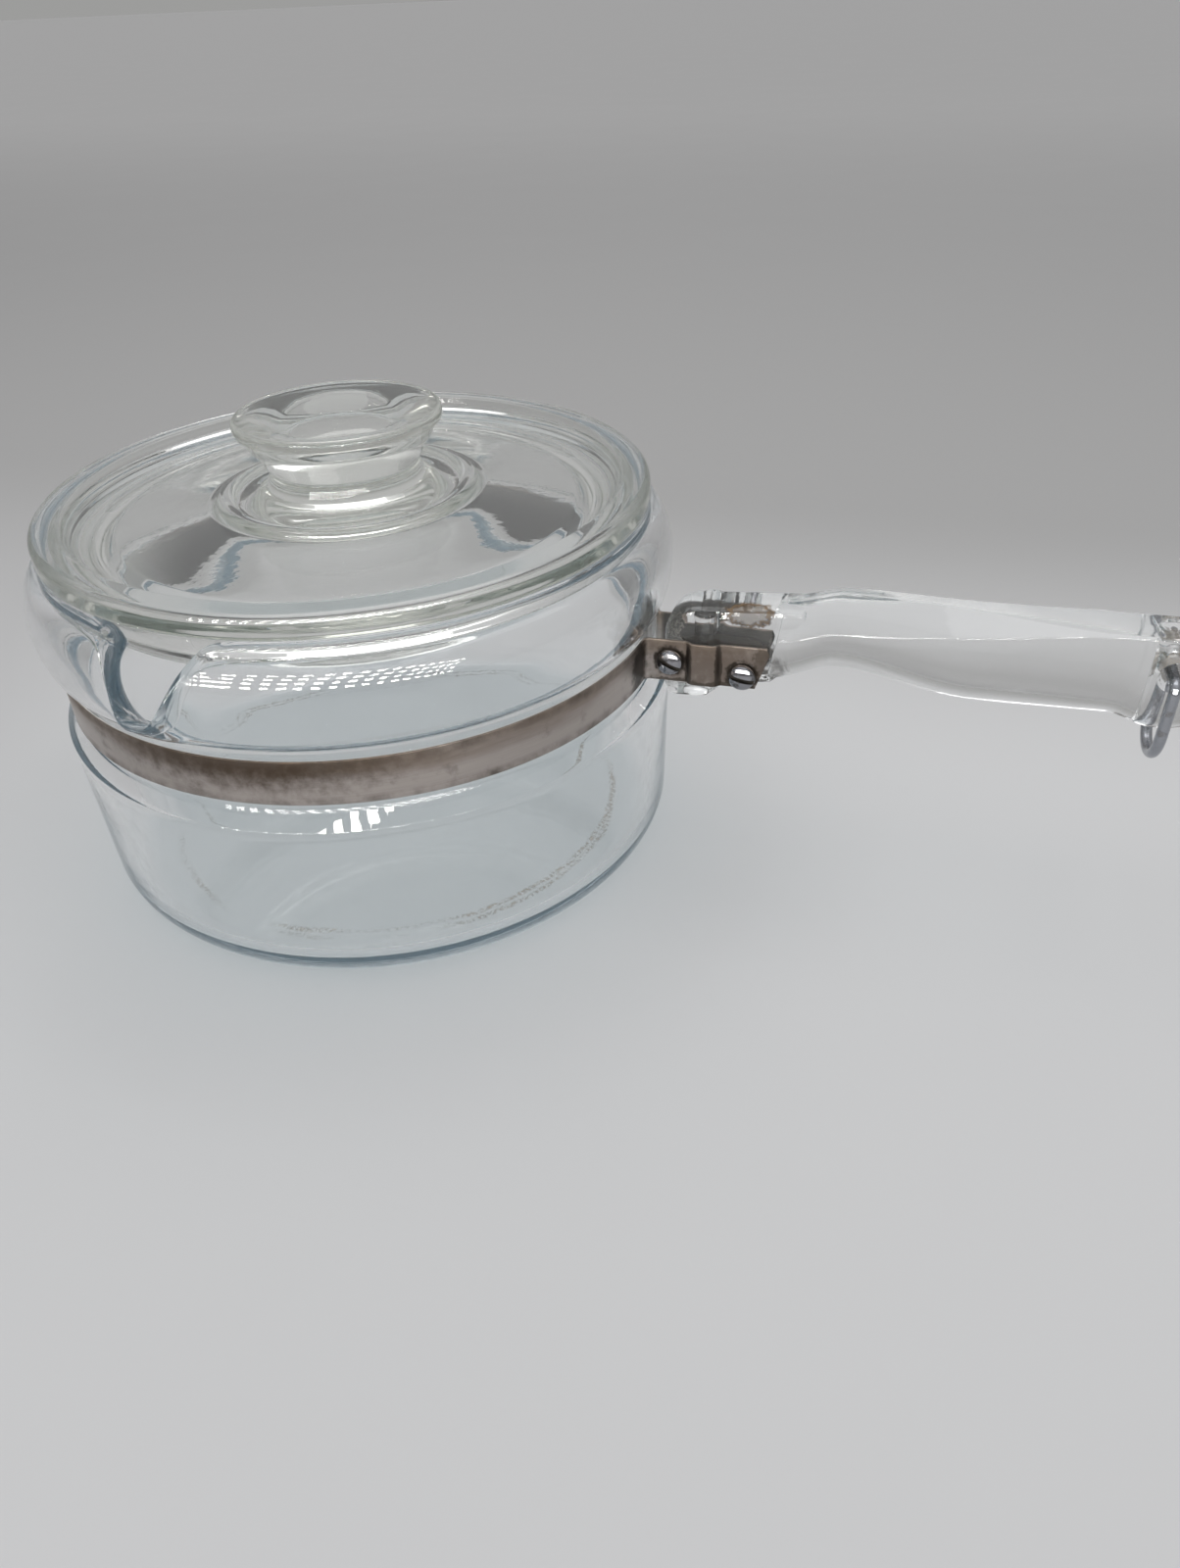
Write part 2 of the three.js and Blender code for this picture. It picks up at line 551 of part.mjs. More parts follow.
function gripGeometry() {
  const endRound = RING_HOLE_INSET;
  const rings = [];
  for (let i = 0; i <= GRIP_STEPS; i += 1) {
    rings.push(gripSection(((GRIP_LENGTH - endRound) * i) / GRIP_STEPS, 1));
  }
  for (let i = 1; i <= END_STEPS; i += 1) {
    const t = Math.sin((i / END_STEPS) * (Math.PI / 2));
    const shrink = Math.max(END_FACE_SHARE, (1 - t ** END_BLUNTNESS) ** (1 / END_BLUNTNESS));
    rings.push(gripSection(GRIP_LENGTH - endRound * (1 - t), shrink));
  }
  const count = rings[0].length;
  const centre = (ring) => ring.reduce((sum, p) => sum.add(p), new THREE.Vector3()).divideScalar(count);
  const places = [...rings.flat(), centre(rings[0]), centre(rings[rings.length - 1])];
  const index = [];
  const front = rings.length * count;
  for (let j = 0; j < count; j += 1) {
    const next = (j + 1) % count;
    for (let i = 0; i < rings.length - 1; i += 1) {
      const [a, b, c, d] = [i * count + j, i * count + next, (i + 1) * count + j, (i + 1) * count + next];
      index.push(a, d, b, a, c, d);
    }
    index.push(front, j, next);
    const last = (rings.length - 1) * count;
    index.push(front + 1, last + next, last + j);
  }
  const geometry = new THREE.BufferGeometry().setFromPoints(places);
  geometry.setIndex(index);
  return geometry;
}

// Hole across the handle's end, flared at both mouths.
function ringHoleGeometry() {
  const reach = END_WIDTH / 2;
  const straight = reach - RING_MOUTH_DEPTH;
  const mouth = ringHole + RING_MOUTH;
  const profile = [
    point(0, -2 * reach), point(mouth, -2 * reach), point(mouth, -reach), point(ringHole, -straight),
    point(ringHole, straight), point(mouth, reach), point(mouth, 2 * reach), point(0, 2 * reach),
  ];
  return new THREE.LatheGeometry(profile, SCREW_STEPS).translate(ringHoleX, 0, ringHoleZ);
}

function handleGeometry() {
  const block = acrossHandle(blockOutline(), BLOCK_WIDTH, BLOCK_BEVEL);
  const hole = SCREW_DIAMETER / 2 + GLASS_HOLE_FIT;
  const [front, rear] = screwPlaces;
  const notch = new THREE.Shape();
  notch.moveTo(front.x, front.z - hole);
  notch.absarc(front.x, front.z, hole, -Math.PI / 2, Math.PI / 2, false);
  notch.lineTo(blockFront - hole, front.z + hole);
  notch.lineTo(blockFront - hole, front.z - hole);
  const span = 2 * GRIP_WIDTH;
  const body = join(block, ribGeometry(), gripGeometry());
  return cut(body, acrossHandle(notch, span), holeAcross(rear.x, rear.z, hole, span), ringHoleGeometry());
}

// Slotted dome-head screw along Y with its head on the -Y side.
function screwGeometry({ x, z }) {
  const shank = SCREW_DIAMETER / 2;
  const seat = earOutside + FIT;
  const dome = seat + SCREW_HEAD_EDGE;
  const tip = -(earOutside + FIT + NUT_THICKNESS + SCREW_TAIL);
  const profile = [
    point(0, tip), point(shank - SCREW_POINT, tip), point(shank, tip + SCREW_POINT),
    point(shank, seat), point(headRadius, seat),
    ...quarter(0, dome, headRadius, SCREW_DOME, 0, 1, CORNER_STEPS),
  ];
  const blank = new THREE.LatheGeometry(profile, SCREW_STEPS);
  const slot = new THREE.BoxGeometry(4 * headRadius, 2 * SCREW_SLOT_DEPTH, SCREW_SLOT);
  slot.translate(0, dome + SCREW_DOME, 0);
  return cut(blank, slot).rotateX(Math.PI).translate(x, 0, z);
}

function nutGeometry({ x, z }) {
  const half = SCREW_DIAMETER / 2 + NUT_WALL;
  const flat = half - NUT_CHAMFER;
  const plan = new THREE.Shape([
    point(-flat, -half), point(flat, -half), point(half, -flat), point(half, flat),
    point(flat, half), point(-flat, half), point(-half, flat), point(-half, -flat),
  ]);
  const bore = new THREE.Path().absarc(0, 0, earHole, 0, 2 * Math.PI, true);
  plan.holes.push(bore);
  const nut = new THREE.ExtrudeGeometry(plan, {
    depth: NUT_THICKNESS,
    bevelEnabled: false,
    curveSegments: SCREW_STEPS / 2,
  });
  return closed(nut.rotateX(-Math.PI / 2).translate(x, earOutside + FIT, z));
}

// Wire loop: a bar through the handle, two legs and a round bottom, with its butt joint inside the hole.
function ringPath() {
  const bar = new THREE.Vector3(ringHoleX, 0, ringHoleZ - RING_PLAY / 2 + FIT);
  const leg = END_WIDTH / 2 + LEG_FIT + RING_WIRE / 2;
  const low = -(RING_LENGTH - leg);
  const at = (y, z) => bar.clone().add(new THREE.Vector3(0, y, z));
  const path = new THREE.CurvePath();
  const corner = (a, b, c) => {
    const towards = (from, to) => from.clone().lerp(to, QUARTER_CIRCLE);
    path.add(new THREE.CubicBezierCurve3(a, towards(a, b), towards(c, b), c));
  };
  const straight = (a, b) => path.add(new THREE.LineCurve3(a, b));
  straight(at(RING_BUTT / 2, 0), at(leg - RING_BEND_RADIUS, 0));
  corner(at(leg - RING_BEND_RADIUS, 0), at(leg, 0), at(leg, -RING_BEND_RADIUS));
  straight(at(leg, -RING_BEND_RADIUS), at(leg, low));
  corner(at(leg, low), at(leg, low - leg), at(0, low - leg));
  corner(at(0, low - leg), at(-leg, low - leg), at(-leg, low));
  straight(at(-leg, low), at(-leg, -RING_BEND_RADIUS));
  corner(at(-leg, -RING_BEND_RADIUS), at(-leg, 0), at(-leg + RING_BEND_RADIUS, 0));
  straight(at(-leg + RING_BEND_RADIUS, 0), at(-RING_BUTT / 2, 0));
  return path;
}

function ringGeometry() {
  const wire = new THREE.Shape().absarc(0, 0, RING_WIRE / 2, 0, 2 * Math.PI, false);
  const tube = new THREE.ExtrudeGeometry(wire, {
    steps: RING_STEPS,
    curveSegments: CORNER_STEPS,
    extrudePath: ringPath(),
  });
  return closed(tube);
}

const saucepan = new THREE.Group();

function add(name, geometry, material) {
  const mesh = new THREE.Mesh(geometry, new THREE.MeshStandardMaterial(material));
  geometry.computeVertexNormals();
  mesh.name = name;
  saucepan.add(mesh);
}

const clearGlass = { roughness: 0.04, metalness: 0.0, transparent: true, opacity: 0.35 };
const brightSteel = { color: 0xb9bbbf, roughness: 0.18, metalness: 1.0 };

add('bowl', bowlGeometry(), { ...clearGlass, color: 0xe3eef2 });
add('lid', lidGeometry(), { ...clearGlass, color: 0xe6ebe0 });
add('clamp_band', bandGeometry(), { color: 0x8c807a, roughness: 0.42, metalness: 1.0 });
add('handle', handleGeometry(), { ...clearGlass, color: 0xeceeec });
screwPlaces.forEach((place) => {
  add(`${place.name}_clamp_screw`, screwGeometry(place), brightSteel);
  add(`${place.name}_clamp_nut`, nutGeometry(place), brightSteel);
});
add('hanging_ring', ringGeometry(), { color: 0x9fa3ab, roughness: 0.3, metalness: 1.0 });

export default saucepan;
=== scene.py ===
"""Looks of a lidded glass saucepan with a clamped glass handle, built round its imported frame.

Sizes are in metres in the part's own frame: the origin is the middle of the base, +X runs along the
handle and +Z is up.
"""

import json
import logging
import math
from collections.abc import Callable, Sequence
from dataclasses import dataclass
from enum import Enum

import bmesh
import bpy
from mathutils import Matrix, Vector, noise


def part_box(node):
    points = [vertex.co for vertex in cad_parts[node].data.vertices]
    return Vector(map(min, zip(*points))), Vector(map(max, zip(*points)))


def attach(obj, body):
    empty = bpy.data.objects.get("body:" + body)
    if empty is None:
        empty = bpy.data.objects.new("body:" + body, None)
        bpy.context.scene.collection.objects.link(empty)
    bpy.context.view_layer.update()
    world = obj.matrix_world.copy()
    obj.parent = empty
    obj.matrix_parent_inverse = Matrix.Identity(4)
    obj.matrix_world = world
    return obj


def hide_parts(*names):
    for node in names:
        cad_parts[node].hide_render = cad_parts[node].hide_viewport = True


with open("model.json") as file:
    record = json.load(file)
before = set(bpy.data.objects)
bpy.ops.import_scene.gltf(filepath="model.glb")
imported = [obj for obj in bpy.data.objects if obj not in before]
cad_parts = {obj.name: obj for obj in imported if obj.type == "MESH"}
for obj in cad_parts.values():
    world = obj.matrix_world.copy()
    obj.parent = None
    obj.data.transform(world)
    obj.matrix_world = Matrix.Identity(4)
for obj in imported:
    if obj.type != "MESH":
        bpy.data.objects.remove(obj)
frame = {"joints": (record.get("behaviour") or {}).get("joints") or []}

LOG = logging.getLogger("saucepan")
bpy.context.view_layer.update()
MM = 0.001
QUARTER_TURN = math.pi / 2
FULL_TURN = 2 * math.pi
# Lengths that count as none, that weld corners and that mean touching.
NOTHING = 1e-9
WELD_GAP = 1e-7
TOUCH_GAP = 1e-5
# Limits for the rounding of lines and edges, and the angle that shades every edge smooth.
CORNER_SHARE = 0.45
MITRE_LIMIT = 0.5
EDGE_STEPS = 6
SHARP_EDGE = math.radians(25.0)
ALL_SMOOTH = 180.0

Point = tuple[float, float]
Triple = tuple[float, float, float]
Colour = Triple


class Body(Enum):
    """Moving bodies of the frame."""

    PAN = "pan"
    LID = "lid"
    RING = "hanging_ring"


class Slot(Enum):
    """Material slots of the record."""

    BOWL = "bowl_glass"
    LID = "lid_glass"
    HANDLE = "handle_glass"
    BAND = "band_steel"
    SCREW = "screw_steel"
    RING = "ring_steel"


class Join(Enum):
    """Ways to combine meshes."""

    ADD = "UNION"
    CUT = "DIFFERENCE"


class Signal:
    """A shader socket that Python operators can work on."""

    def __init__(self, sheet: "Sheet", socket: bpy.types.NodeSocket) -> None:
        """Wrap one output socket of a sheet's node."""
        self.sheet = sheet
        self.socket = socket

    def maths(self, operation: str, first: "Signal | float", second: "Signal | float") -> "Signal":
        """Add a Math node of one operation on two values."""
        return self.sheet.out("ShaderNodeMath", {"operation": operation}, {0: first, 1: second})

    def __add__(self, other: "Signal | float") -> "Signal":
        """Sum."""
        return self.maths("ADD", self, other)

    def __radd__(self, other: float) -> "Signal":
        """Sum with a number on the left."""
        return self.maths("ADD", other, self)

    def __sub__(self, other: "Signal | float") -> "Signal":
        """Difference."""
        return self.maths("SUBTRACT", self, other)

    def __rsub__(self, other: float) -> "Signal":
        """Difference from a number."""
        return self.maths("SUBTRACT", other, self)

    def __mul__(self, other: "Signal | float") -> "Signal":
        """Product."""
        return self.maths("MULTIPLY", self, other)

    def __rmul__(self, other: float) -> "Signal":
        """Product with a number on the left."""
        return self.maths("MULTIPLY", other, self)

    def __pow__(self, other: "Signal | float") -> "Signal":
        """Power."""
        return self.maths("POWER", self, other)

    def largest(self, other: "Signal | float") -> "Signal":
        """Larger of two values."""
        return self.maths("MAXIMUM", self, other)

    def smooth(self, low: float, high: float) -> "Signal":
        """Rise smoothly from 0 to 1.

        Args:
            low: Value that gives 0.
            high: Value that gives 1. It may be below low.

        Returns:
            The eased share.
        """
        settings = {"interpolation_type": "SMOOTHSTEP"}
        sockets = {"Value": self, "From Min": low, "From Max": high}
        return self.sheet.out("ShaderNodeMapRange", settings, sockets)


class Sheet:
    """The node tree of one material or of the world."""

    def __init__(self, owner: bpy.types.Material | bpy.types.World) -> None:
        """Start an empty tree.

        Args:
            owner: The material or the world that it belongs to.
        """
        owner.use_nodes = True
        self.owner = owner
        self.tree = owner.node_tree
        self.tree.nodes.clear()

    def node(self, kind: str, settings: dict | None = None, sockets: dict | None = None) -> bpy.types.Node:
        """Add one node.

        Args:
            kind: The node's type.
            settings: Its settings, set first.
            sockets: Values or links of its sockets, by name or number.

        Returns:
            The node.
        """
        made = self.tree.nodes.new(kind)
        for key, value in (settings or {}).items():
            setattr(made, key, value)
        for key, value in (sockets or {}).items():
            self.feed(made.inputs[key], value)
        return made

    def feed(self, socket: bpy.types.NodeSocket, value: object) -> None:
        """Link or set a socket.

        Args:
            socket: The input.
            value: A signal to link, or a plain value.
        """
        if isinstance(value, Signal):
            self.tree.links.new(value.socket, socket)
        elif isinstance(value, tuple) and len(value) == 3 and socket.type == "RGBA":
            socket.default_value = (*value, 1.0)
        else:
            socket.default_value = value

    def out(self, kind: str, settings: dict | None, sockets: dict, name: str | int = 0) -> Signal:
        """Add a node and wrap one of its outputs."""
        return Signal(self, self.node(kind, settings, sockets).outputs[name])

    def place(self) -> Signal:
        """Position on the piece, in the part's frame."""
        return self.out("ShaderNodeTexCoord", None, {}, "Object")

    def axes(self, vector: Signal) -> list[Signal]:
        """Three parts of a vector."""
        made = self.node("ShaderNodeSeparateXYZ", None, {0: vector})
        return [Signal(self, socket) for socket in made.outputs]

    def stretched(self, axes: Sequence[Signal], scales: Triple) -> Signal:
        """Vector of three values, each times a scale of its own."""
        scaled = {i: axes[i] * scale for i, scale in enumerate(scales)}
        return self.out("ShaderNodeCombineXYZ", None, scaled)

    def vectors(self, operation: str, first: Signal, second: Triple) -> Signal:
        """Add a Vector Math node of one operation on two vectors."""
        return self.out("ShaderNodeVectorMath", {"operation": operation}, {0: first, 1: second})

    def grain(self, vector: Signal, scale: float, detail: float = 2.0, rough: float = 0.5) -> Signal:
        """Noise between 0 and 1.

        Args:
            vector: Where it is read.
            scale: Grains in a metre, or in a unit of the vector.
            detail: Octaves.
            rough: Weight of the finer octaves.

        Returns:
            The noise.
        """
        sockets = {"Vector": vector, "Scale": scale, "Detail": detail, "Roughness": rough}
        return self.out("ShaderNodeTexNoise", None, sockets)

    def mix(self, share: Signal | float, first: Signal | Colour, second: Signal | Colour) -> Signal:
        """Blend two colours by the share of the second."""
        return self.out("ShaderNodeMix", {"data_type": "RGBA"}, {0: share, 6: first, 7: second}, 2)

    def bump(self, height: Signal, depth: float) -> Signal:
        """Bend the surface's normal by a height, given as a share of a depth in metres."""
        return self.out("ShaderNodeBump", None, {"Height": height, "Distance": depth})

    def principled(self, sockets: dict) -> Signal:
        """Add a Principled shader."""
        return self.out("ShaderNodeBsdfPrincipled", None, sockets)

    def blend(self, share: Signal, first: Signal, second: Signal) -> Signal:
        """Blend two shaders by the share of the second."""
        return self.out("ShaderNodeMixShader", None, {0: share, 1: first, 2: second})

    def finish(self, surface: Signal, volume: Signal | None = None) -> None:
        """Connect the shaders to the output.

        Args:
            surface: The surface's shader.
            volume: What fills the piece, where it isn't empty.
        """
        sockets = {"Surface": surface}
        if volume is not None:
            sockets["Volume"] = volume
        kind = "World" if isinstance(self.owner, bpy.types.World) else "Material"
        self.node(f"ShaderNodeOutput{kind}", None, sockets)


def darker(colour: Colour, share: float) -> Colour:
    """Colour with each of its parts times a share."""
    return tuple(share * part for part in colour)


@dataclass(frozen=True)
class Spot:
    """A coloured patch round one place on a piece; some are stain marks, some painted shade."""

    middle: Triple
    reach: Triple
    colour: Colour
    cover: float
    grain: float = 600.0
    ragged: float = 0.5
    hollow: float = 0.0
    soft: float = 0.25
    hollow_range: Point = (0.8, 0.5)

    def mask(self, sheet: Sheet, place: Signal) -> Signal:
        """Share of the surface that the patch covers.

        Args:
            sheet: The material's sheet.
            place: Position on the piece.

        Returns:
            The mask.
        """
        inside = sheet.vectors("DIVIDE", sheet.vectors("SUBTRACT", place, self.middle), self.reach)
        far = sheet.out("ShaderNodeVectorMath", {"operation": "LENGTH"}, {0: inside}, "Value")
        rough = far + (sheet.grain(place, self.grain, 4.0, 0.6) - 0.5) * (2 * self.ragged)
        full = rough.smooth(1.0, 1.0 - self.soft)
        return full * (1.0 - rough.smooth(*self.hollow_range) * self.hollow) * self.cover


@dataclass(frozen=True)
class TideMark:
    """A dried ring on the pan's floor."""

    radius: float
    width: float
    low: float
    high: float
    colour: Colour
    cover: float
    wander: float = 5.0
    wander_scale: float = 35.0
    core_share: float = 0.2
    crumb_scale: float = 900.0
    crumb_range: Point = (0.4, 0.62)
    patch_scale: float = 24.0
    patch_range: Point = (0.38, 0.62)

    def mask(self, sheet: Sheet, place: Signal) -> Signal:
        """Share of the surface that the ring covers.

        Args:
            sheet: The material's sheet.
            place: Position on the piece.

        Returns:
            The mask.
        """
        x, y, z = sheet.axes(place)
        radius = (x * x + y * y) ** 0.5
        wander = (sheet.grain(place, self.wander_scale, 3.0) - 0.5) * (self.wander * self.width)
        off = ((radius + wander - self.radius) ** 2) ** 0.5
        line = off.smooth(self.width, self.core_share * self.width)
        level = z.smooth(self.high, self.low)
        broken = sheet.grain(place, self.crumb_scale, 5.0, 0.7).smooth(*self.crumb_range)
        patchy = sheet.grain(place, self.patch_scale, 2.0).smooth(*self.patch_range)
        return line * level * broken * patchy * self.cover


@dataclass(frozen=True)
class GlassFinish:
    """Clear glass with ripples, finger smears, a film of dust, stain marks and painted shade, and a painted
    core light where rays stay trapped.
    """

    name: str
    tint: Colour
    density: float
    ripple: float
    ripple_scale: float
    smear: float
    stains_and_shade: tuple[Spot | TideMark, ...] = ()
    index: float = 1.474
    polish: float = 0.0
    shade: Colour = (0.915, 0.934, 0.940)
    dust: float = 0.012
    film: Colour = (0.72, 0.72, 0.715)
    clear: Colour = (1.0, 1.0, 1.0)
    # Painted light: the fixed colour of the matte core that ends rays trapped in the glass.
    painted_core_light: Colour = (0.24, 0.36, 0.44)
    trapped: Point = (9.0, 20.0)
    fine_scale: float = 6.0
    fine_share: float = 0.2
    smear_scale: float = 28.0
    smear_range: Point = (0.52, 0.75)
    speck_scale: float = 1500.0
    speck_range: Point = (0.71, 0.76)
    speck_dull: float = 0.12
    speck_dust: float = 2.0
    mark_dull: float = 0.7
    mark_scale: float = 900.0
    mark_range: Point = (0.35, 0.65)
    mark_dark: float = 0.35

    def make(self) -> bpy.types.Material:
        """Make the material.

        Returns:
            The glass.
        """
        sheet = Sheet(bpy.data.materials.new(self.name))
        place = sheet.place()
        broad = sheet.grain(place, self.ripple_scale, 2.0)
        fine = sheet.grain(place, self.ripple_scale * self.fine_scale, 3.0)
        normal = sheet.bump(broad * (1 - self.fine_share) + fine * self.fine_share, self.ripple)
        smear = sheet.grain(place, self.smear_scale, 4.0, 0.6).smooth(*self.smear_range)
        specks = sheet.grain(place, self.speck_scale, 2.0).smooth(*self.speck_range)
        surface = sheet.principled({
            "Base Color": self.clear,
            "Roughness": smear * self.smear + specks * self.speck_dull + self.polish,
            "IOR": self.index,
            "Transmission Weight": 1.0,
            "Normal": normal,
        })
        film = sheet.out("ShaderNodeBsdfDiffuse", None, {"Color": self.film})
        surface = sheet.blend((smear + specks * self.speck_dust + 1.0) * self.dust, surface, film)
        # Patches laid over the glass: stain marks, and on the handle's far face a painted shade.
        for stain in self.stains_and_shade:
            mottled = self._mottled(sheet, place, stain.colour)
            soil_and_shade = sheet.principled({"Base Color": mottled, "Roughness": self.mark_dull, "Normal": normal})
            surface = sheet.blend(stain.mask(sheet, place), surface, soil_and_shade)
        sheet.finish(self._lit(sheet, surface), self._tinted(sheet))
        return sheet.owner

    def _lit(self, sheet: Sheet, surface: Signal) -> Signal:
        """Let light pass to what lies behind, and end the rays that stay trapped in the glass on a matte
        core of a fixed colour, which is painted light.

        Args:
            sheet: The material's sheet.
            surface: The glass's own shader.

        Returns:
            The whole shader.
        """
        path = sheet.node("ShaderNodeLightPath")
        cast, soft, turns = (Signal(sheet, path.outputs[name])
                             for name in ("Is Shadow Ray", "Is Diffuse Ray", "Ray Depth"))
        # Painted light: a matte core of a fixed colour stands in for the light that trapped rays would carry
        # out.
        core = sheet.out("ShaderNodeBsdfDiffuse", None, {"Color": self.painted_core_light})
        surface = sheet.blend(turns.smooth(*self.trapped), surface, core)
        thin = sheet.out("ShaderNodeBsdfTransparent", None, {"Color": self.shade})
        return sheet.blend(cast.largest(soft), surface, thin)

    def _tinted(self, sheet: Sheet) -> Signal:
        """Colour that deepens with the glass's thickness."""
        return sheet.out("ShaderNodeVolumeAbsorption", None, {"Color": self.tint, "Density": self.density})

    def _mottled(self, sheet: Sheet, place: Signal, colour: Colour) -> Signal:
        """Mottled colour of a patch."""
        grain = sheet.grain(place, self.mark_scale, 4.0, 0.65).smooth(*self.mark_range)
        return sheet.mix(grain, darker(colour, self.mark_dark), colour)


@dataclass(frozen=True)
class BandFinish:
    """Satin stainless strip with brown heat stain, drawn lines and rubbed edges, and painted light and shade
    on its inner face and on the ears' faces pressed to the handle.
    """

    name: str
    steel: Colour
    stain: Colour
    # Painted light: the inner face's colour, lighter than the steel. Painted shade: the next colour, near
    # black, on the back of the inner face and on the ears' faces pressed to the handle.
    inside: Colour
    soil_and_shade: Colour
    low: float
    high: float
    radius: float
    spots: tuple[Spot, ...] = ()
    drawn_scale: Triple = (60.0, 9000.0, 20.0)
    drawn_range: Point = (0.25, 0.75)
    drawn_dark: float = 0.86
    cloud_scale: Triple = (34.0, 160.0, 10.0)
    blotch_scale: float = 150.0
    edge_range: Point = (0.36, 0.5)
    heat_range: Point = (0.1, 0.75)
    heat_cover: float = 0.8
    grime_range: Point = (0.56, 0.72)
    edge_grime_range: Point = (0.35, 0.6)
    grime_cover: float = 0.7
    grime_dark: float = 0.3
    skin: Point = (0.3 * MM, 0.6 * MM)
    pressed_from: float = 2.0 * MM
    pressed_to: float = 6.0 * MM
    soiled_from: float = 0.03
    polish: float = 0.26
    relief: float = 0.03 * MM

    def make(self) -> bpy.types.Material:
        """Make the material.

        Returns:
            The steel.
        """
        sheet = Sheet(bpy.data.materials.new(self.name))
        place = sheet.place()
        x, y, z = sheet.axes(place)
        along = y.maths("ARCTAN2", y, x) * self.radius + (x - self.radius).largest(0.0)
        height = z.smooth(self.low, self.high)
        drawn = sheet.grain(sheet.stretched((along, z, y), self.drawn_scale), 1.0, 3.0, 0.6)
        cloud = sheet.grain(sheet.stretched((along, z, y), self.cloud_scale), 1.0, 4.0, 0.55)
        blotch = sheet.grain(place, self.blotch_scale, 5.0, 0.6)
        off = height - 0.5
        edge = off.maths("ABSOLUTE", off, 0.0).smooth(*self.edge_range)
        heat = (height * 0.7 + cloud * 0.9 - 0.55).smooth(*self.heat_range)
        grime = blotch.smooth(*self.grime_range) * 0.5 + edge * blotch.smooth(*self.edge_grime_range) * 0.6
        lines = drawn.smooth(*self.drawn_range)
        steel = sheet.mix(lines, darker(self.steel, self.drawn_dark), self.steel)
        warm = sheet.mix(heat * self.heat_cover, steel, self.stain)
        colour = sheet.mix(grime * self.grime_cover, warm, darker(self.stain, self.grime_dark))
        for spot in self.spots:
            colour = sheet.mix(spot.mask(sheet, place), colour, spot.colour)
        # Painted light and shade: the inner face is painted lighter than the steel, and its back half and
        # the ears' faces pressed against the handle are painted near black, all less metallic.
        hidden = ((x * x + y * y) ** 0.5).smooth(*(self.radius - depth for depth in self.skin))
        turned = sheet.axes(sheet.out("ShaderNodeNewGeometry", None, {}, "Normal"))[1]
        facing = (y * turned).smooth(-self.pressed_from, -self.pressed_to)
        pressed = x.smooth(self.radius, self.radius + self.pressed_from) * facing
        painted_lining = sheet.mix(y.smooth(0.0, self.soiled_from), self.inside, self.soil_and_shade)
        sheet.finish(sheet.principled({
            "Base Color": sheet.mix(pressed, sheet.mix(hidden, colour, painted_lining), self.soil_and_shade),
            "Metallic": 1.0 - (grime * 0.5).largest(hidden * 0.5).largest(pressed),
            "Roughness": self.polish + drawn * 0.12 + heat * 0.1 + grime * 0.25 + pressed * 0.3,
            "Normal": sheet.bump(drawn * 0.6 + blotch * 0.4, self.relief),
        }))
        return sheet.owner


@dataclass(frozen=True)
class PlatedFinish:
    """Bright plating, worn and finely scratched, with dirt where it is dull; made dark, it also serves as
    dirt and painted shade in the screws' slots.
    """

    name: str
    metal: Colour
    soil_and_shade: Colour
    polish: float
    wear: float
    blotch_scale: float = 380.0
    blotch_range: Point = (0.5, 0.72)
    scratch_scale: Triple = (900.0, 5200.0, 1600.0)
    scratch_range: Point = (0.45, 0.8)
    relief: float = 0.02 * MM

    def make(self) -> bpy.types.Material:
        """Make the material.

        Returns:
            The plating.
        """
        sheet = Sheet(bpy.data.materials.new(self.name))
        place = sheet.place()
        blotch = sheet.grain(place, self.blotch_scale, 5.0, 0.65)
        scratch = sheet.grain(sheet.stretched(sheet.axes(place), self.scratch_scale), 1.0, 3.0)
        worn = blotch.smooth(*self.blotch_range) * self.wear
        sheet.finish(sheet.principled({
            "Base Color": sheet.mix(worn, self.metal, self.soil_and_shade),
            "Metallic": 1.0 - worn * 0.6,
            "Roughness": self.polish + scratch.smooth(*self.scratch_range) * 0.14 + worn * 0.3,
            "Normal": sheet.bump(scratch * 0.4 + blotch * 0.6, self.relief),
        }))
        return sheet.owner


def arc(middle: Point, radii: Point, start: float, end: float, steps: int) -> list[Point]:
    """Points on part of an ellipse.

    Args:
        middle: Its centre.
        radii: Half its width and half its height.
        start: First angle, in quarter turns.
        end: Last angle, in quarter turns.
        steps: Pieces that it is cut into.

    Returns:
        The points, both ends included.
    """
    angles = [(start + (end - start) * i / steps) * QUARTER_TURN for i in range(steps + 1)]
    return [(middle[0] + radii[0] * math.cos(a), middle[1] + radii[1] * math.sin(a)) for a in angles]


def soften(line: Sequence[Point], size: float, least: float = 0.3, steps: int = 4) -> list[Point]:
    """Round the sharp corners of a line.

    Args:
        line: The line's points.
        size: Length that a corner takes from each side.
        least: Turn above which a corner counts as sharp, in radians.
        steps: Pieces that a rounded corner is cut into.

    Returns:
        The rounded line.
    """
    spots = [Vector(p) for p in line]
    made = [spots[0]]
    for before, corner, after in zip(spots, spots[1:], spots[2:]):
        back, ahead = before - corner, after - corner
        straight = min(back.length, ahead.length) < NOTHING
        if straight or math.pi - back.angle(ahead) < least:
            made.append(corner)
            continue
        start = corner + back.normalized() * min(size, CORNER_SHARE * back.length)
        end = corner + ahead.normalized() * min(size, CORNER_SHARE * ahead.length)
        for i in range(steps + 1):
            t = i / steps
            made.append(start * (1 - t) ** 2 + corner * (2 * t * (1 - t)) + end * t ** 2)
    made.append(spots[-1])
    return [tuple(p) for p in made]


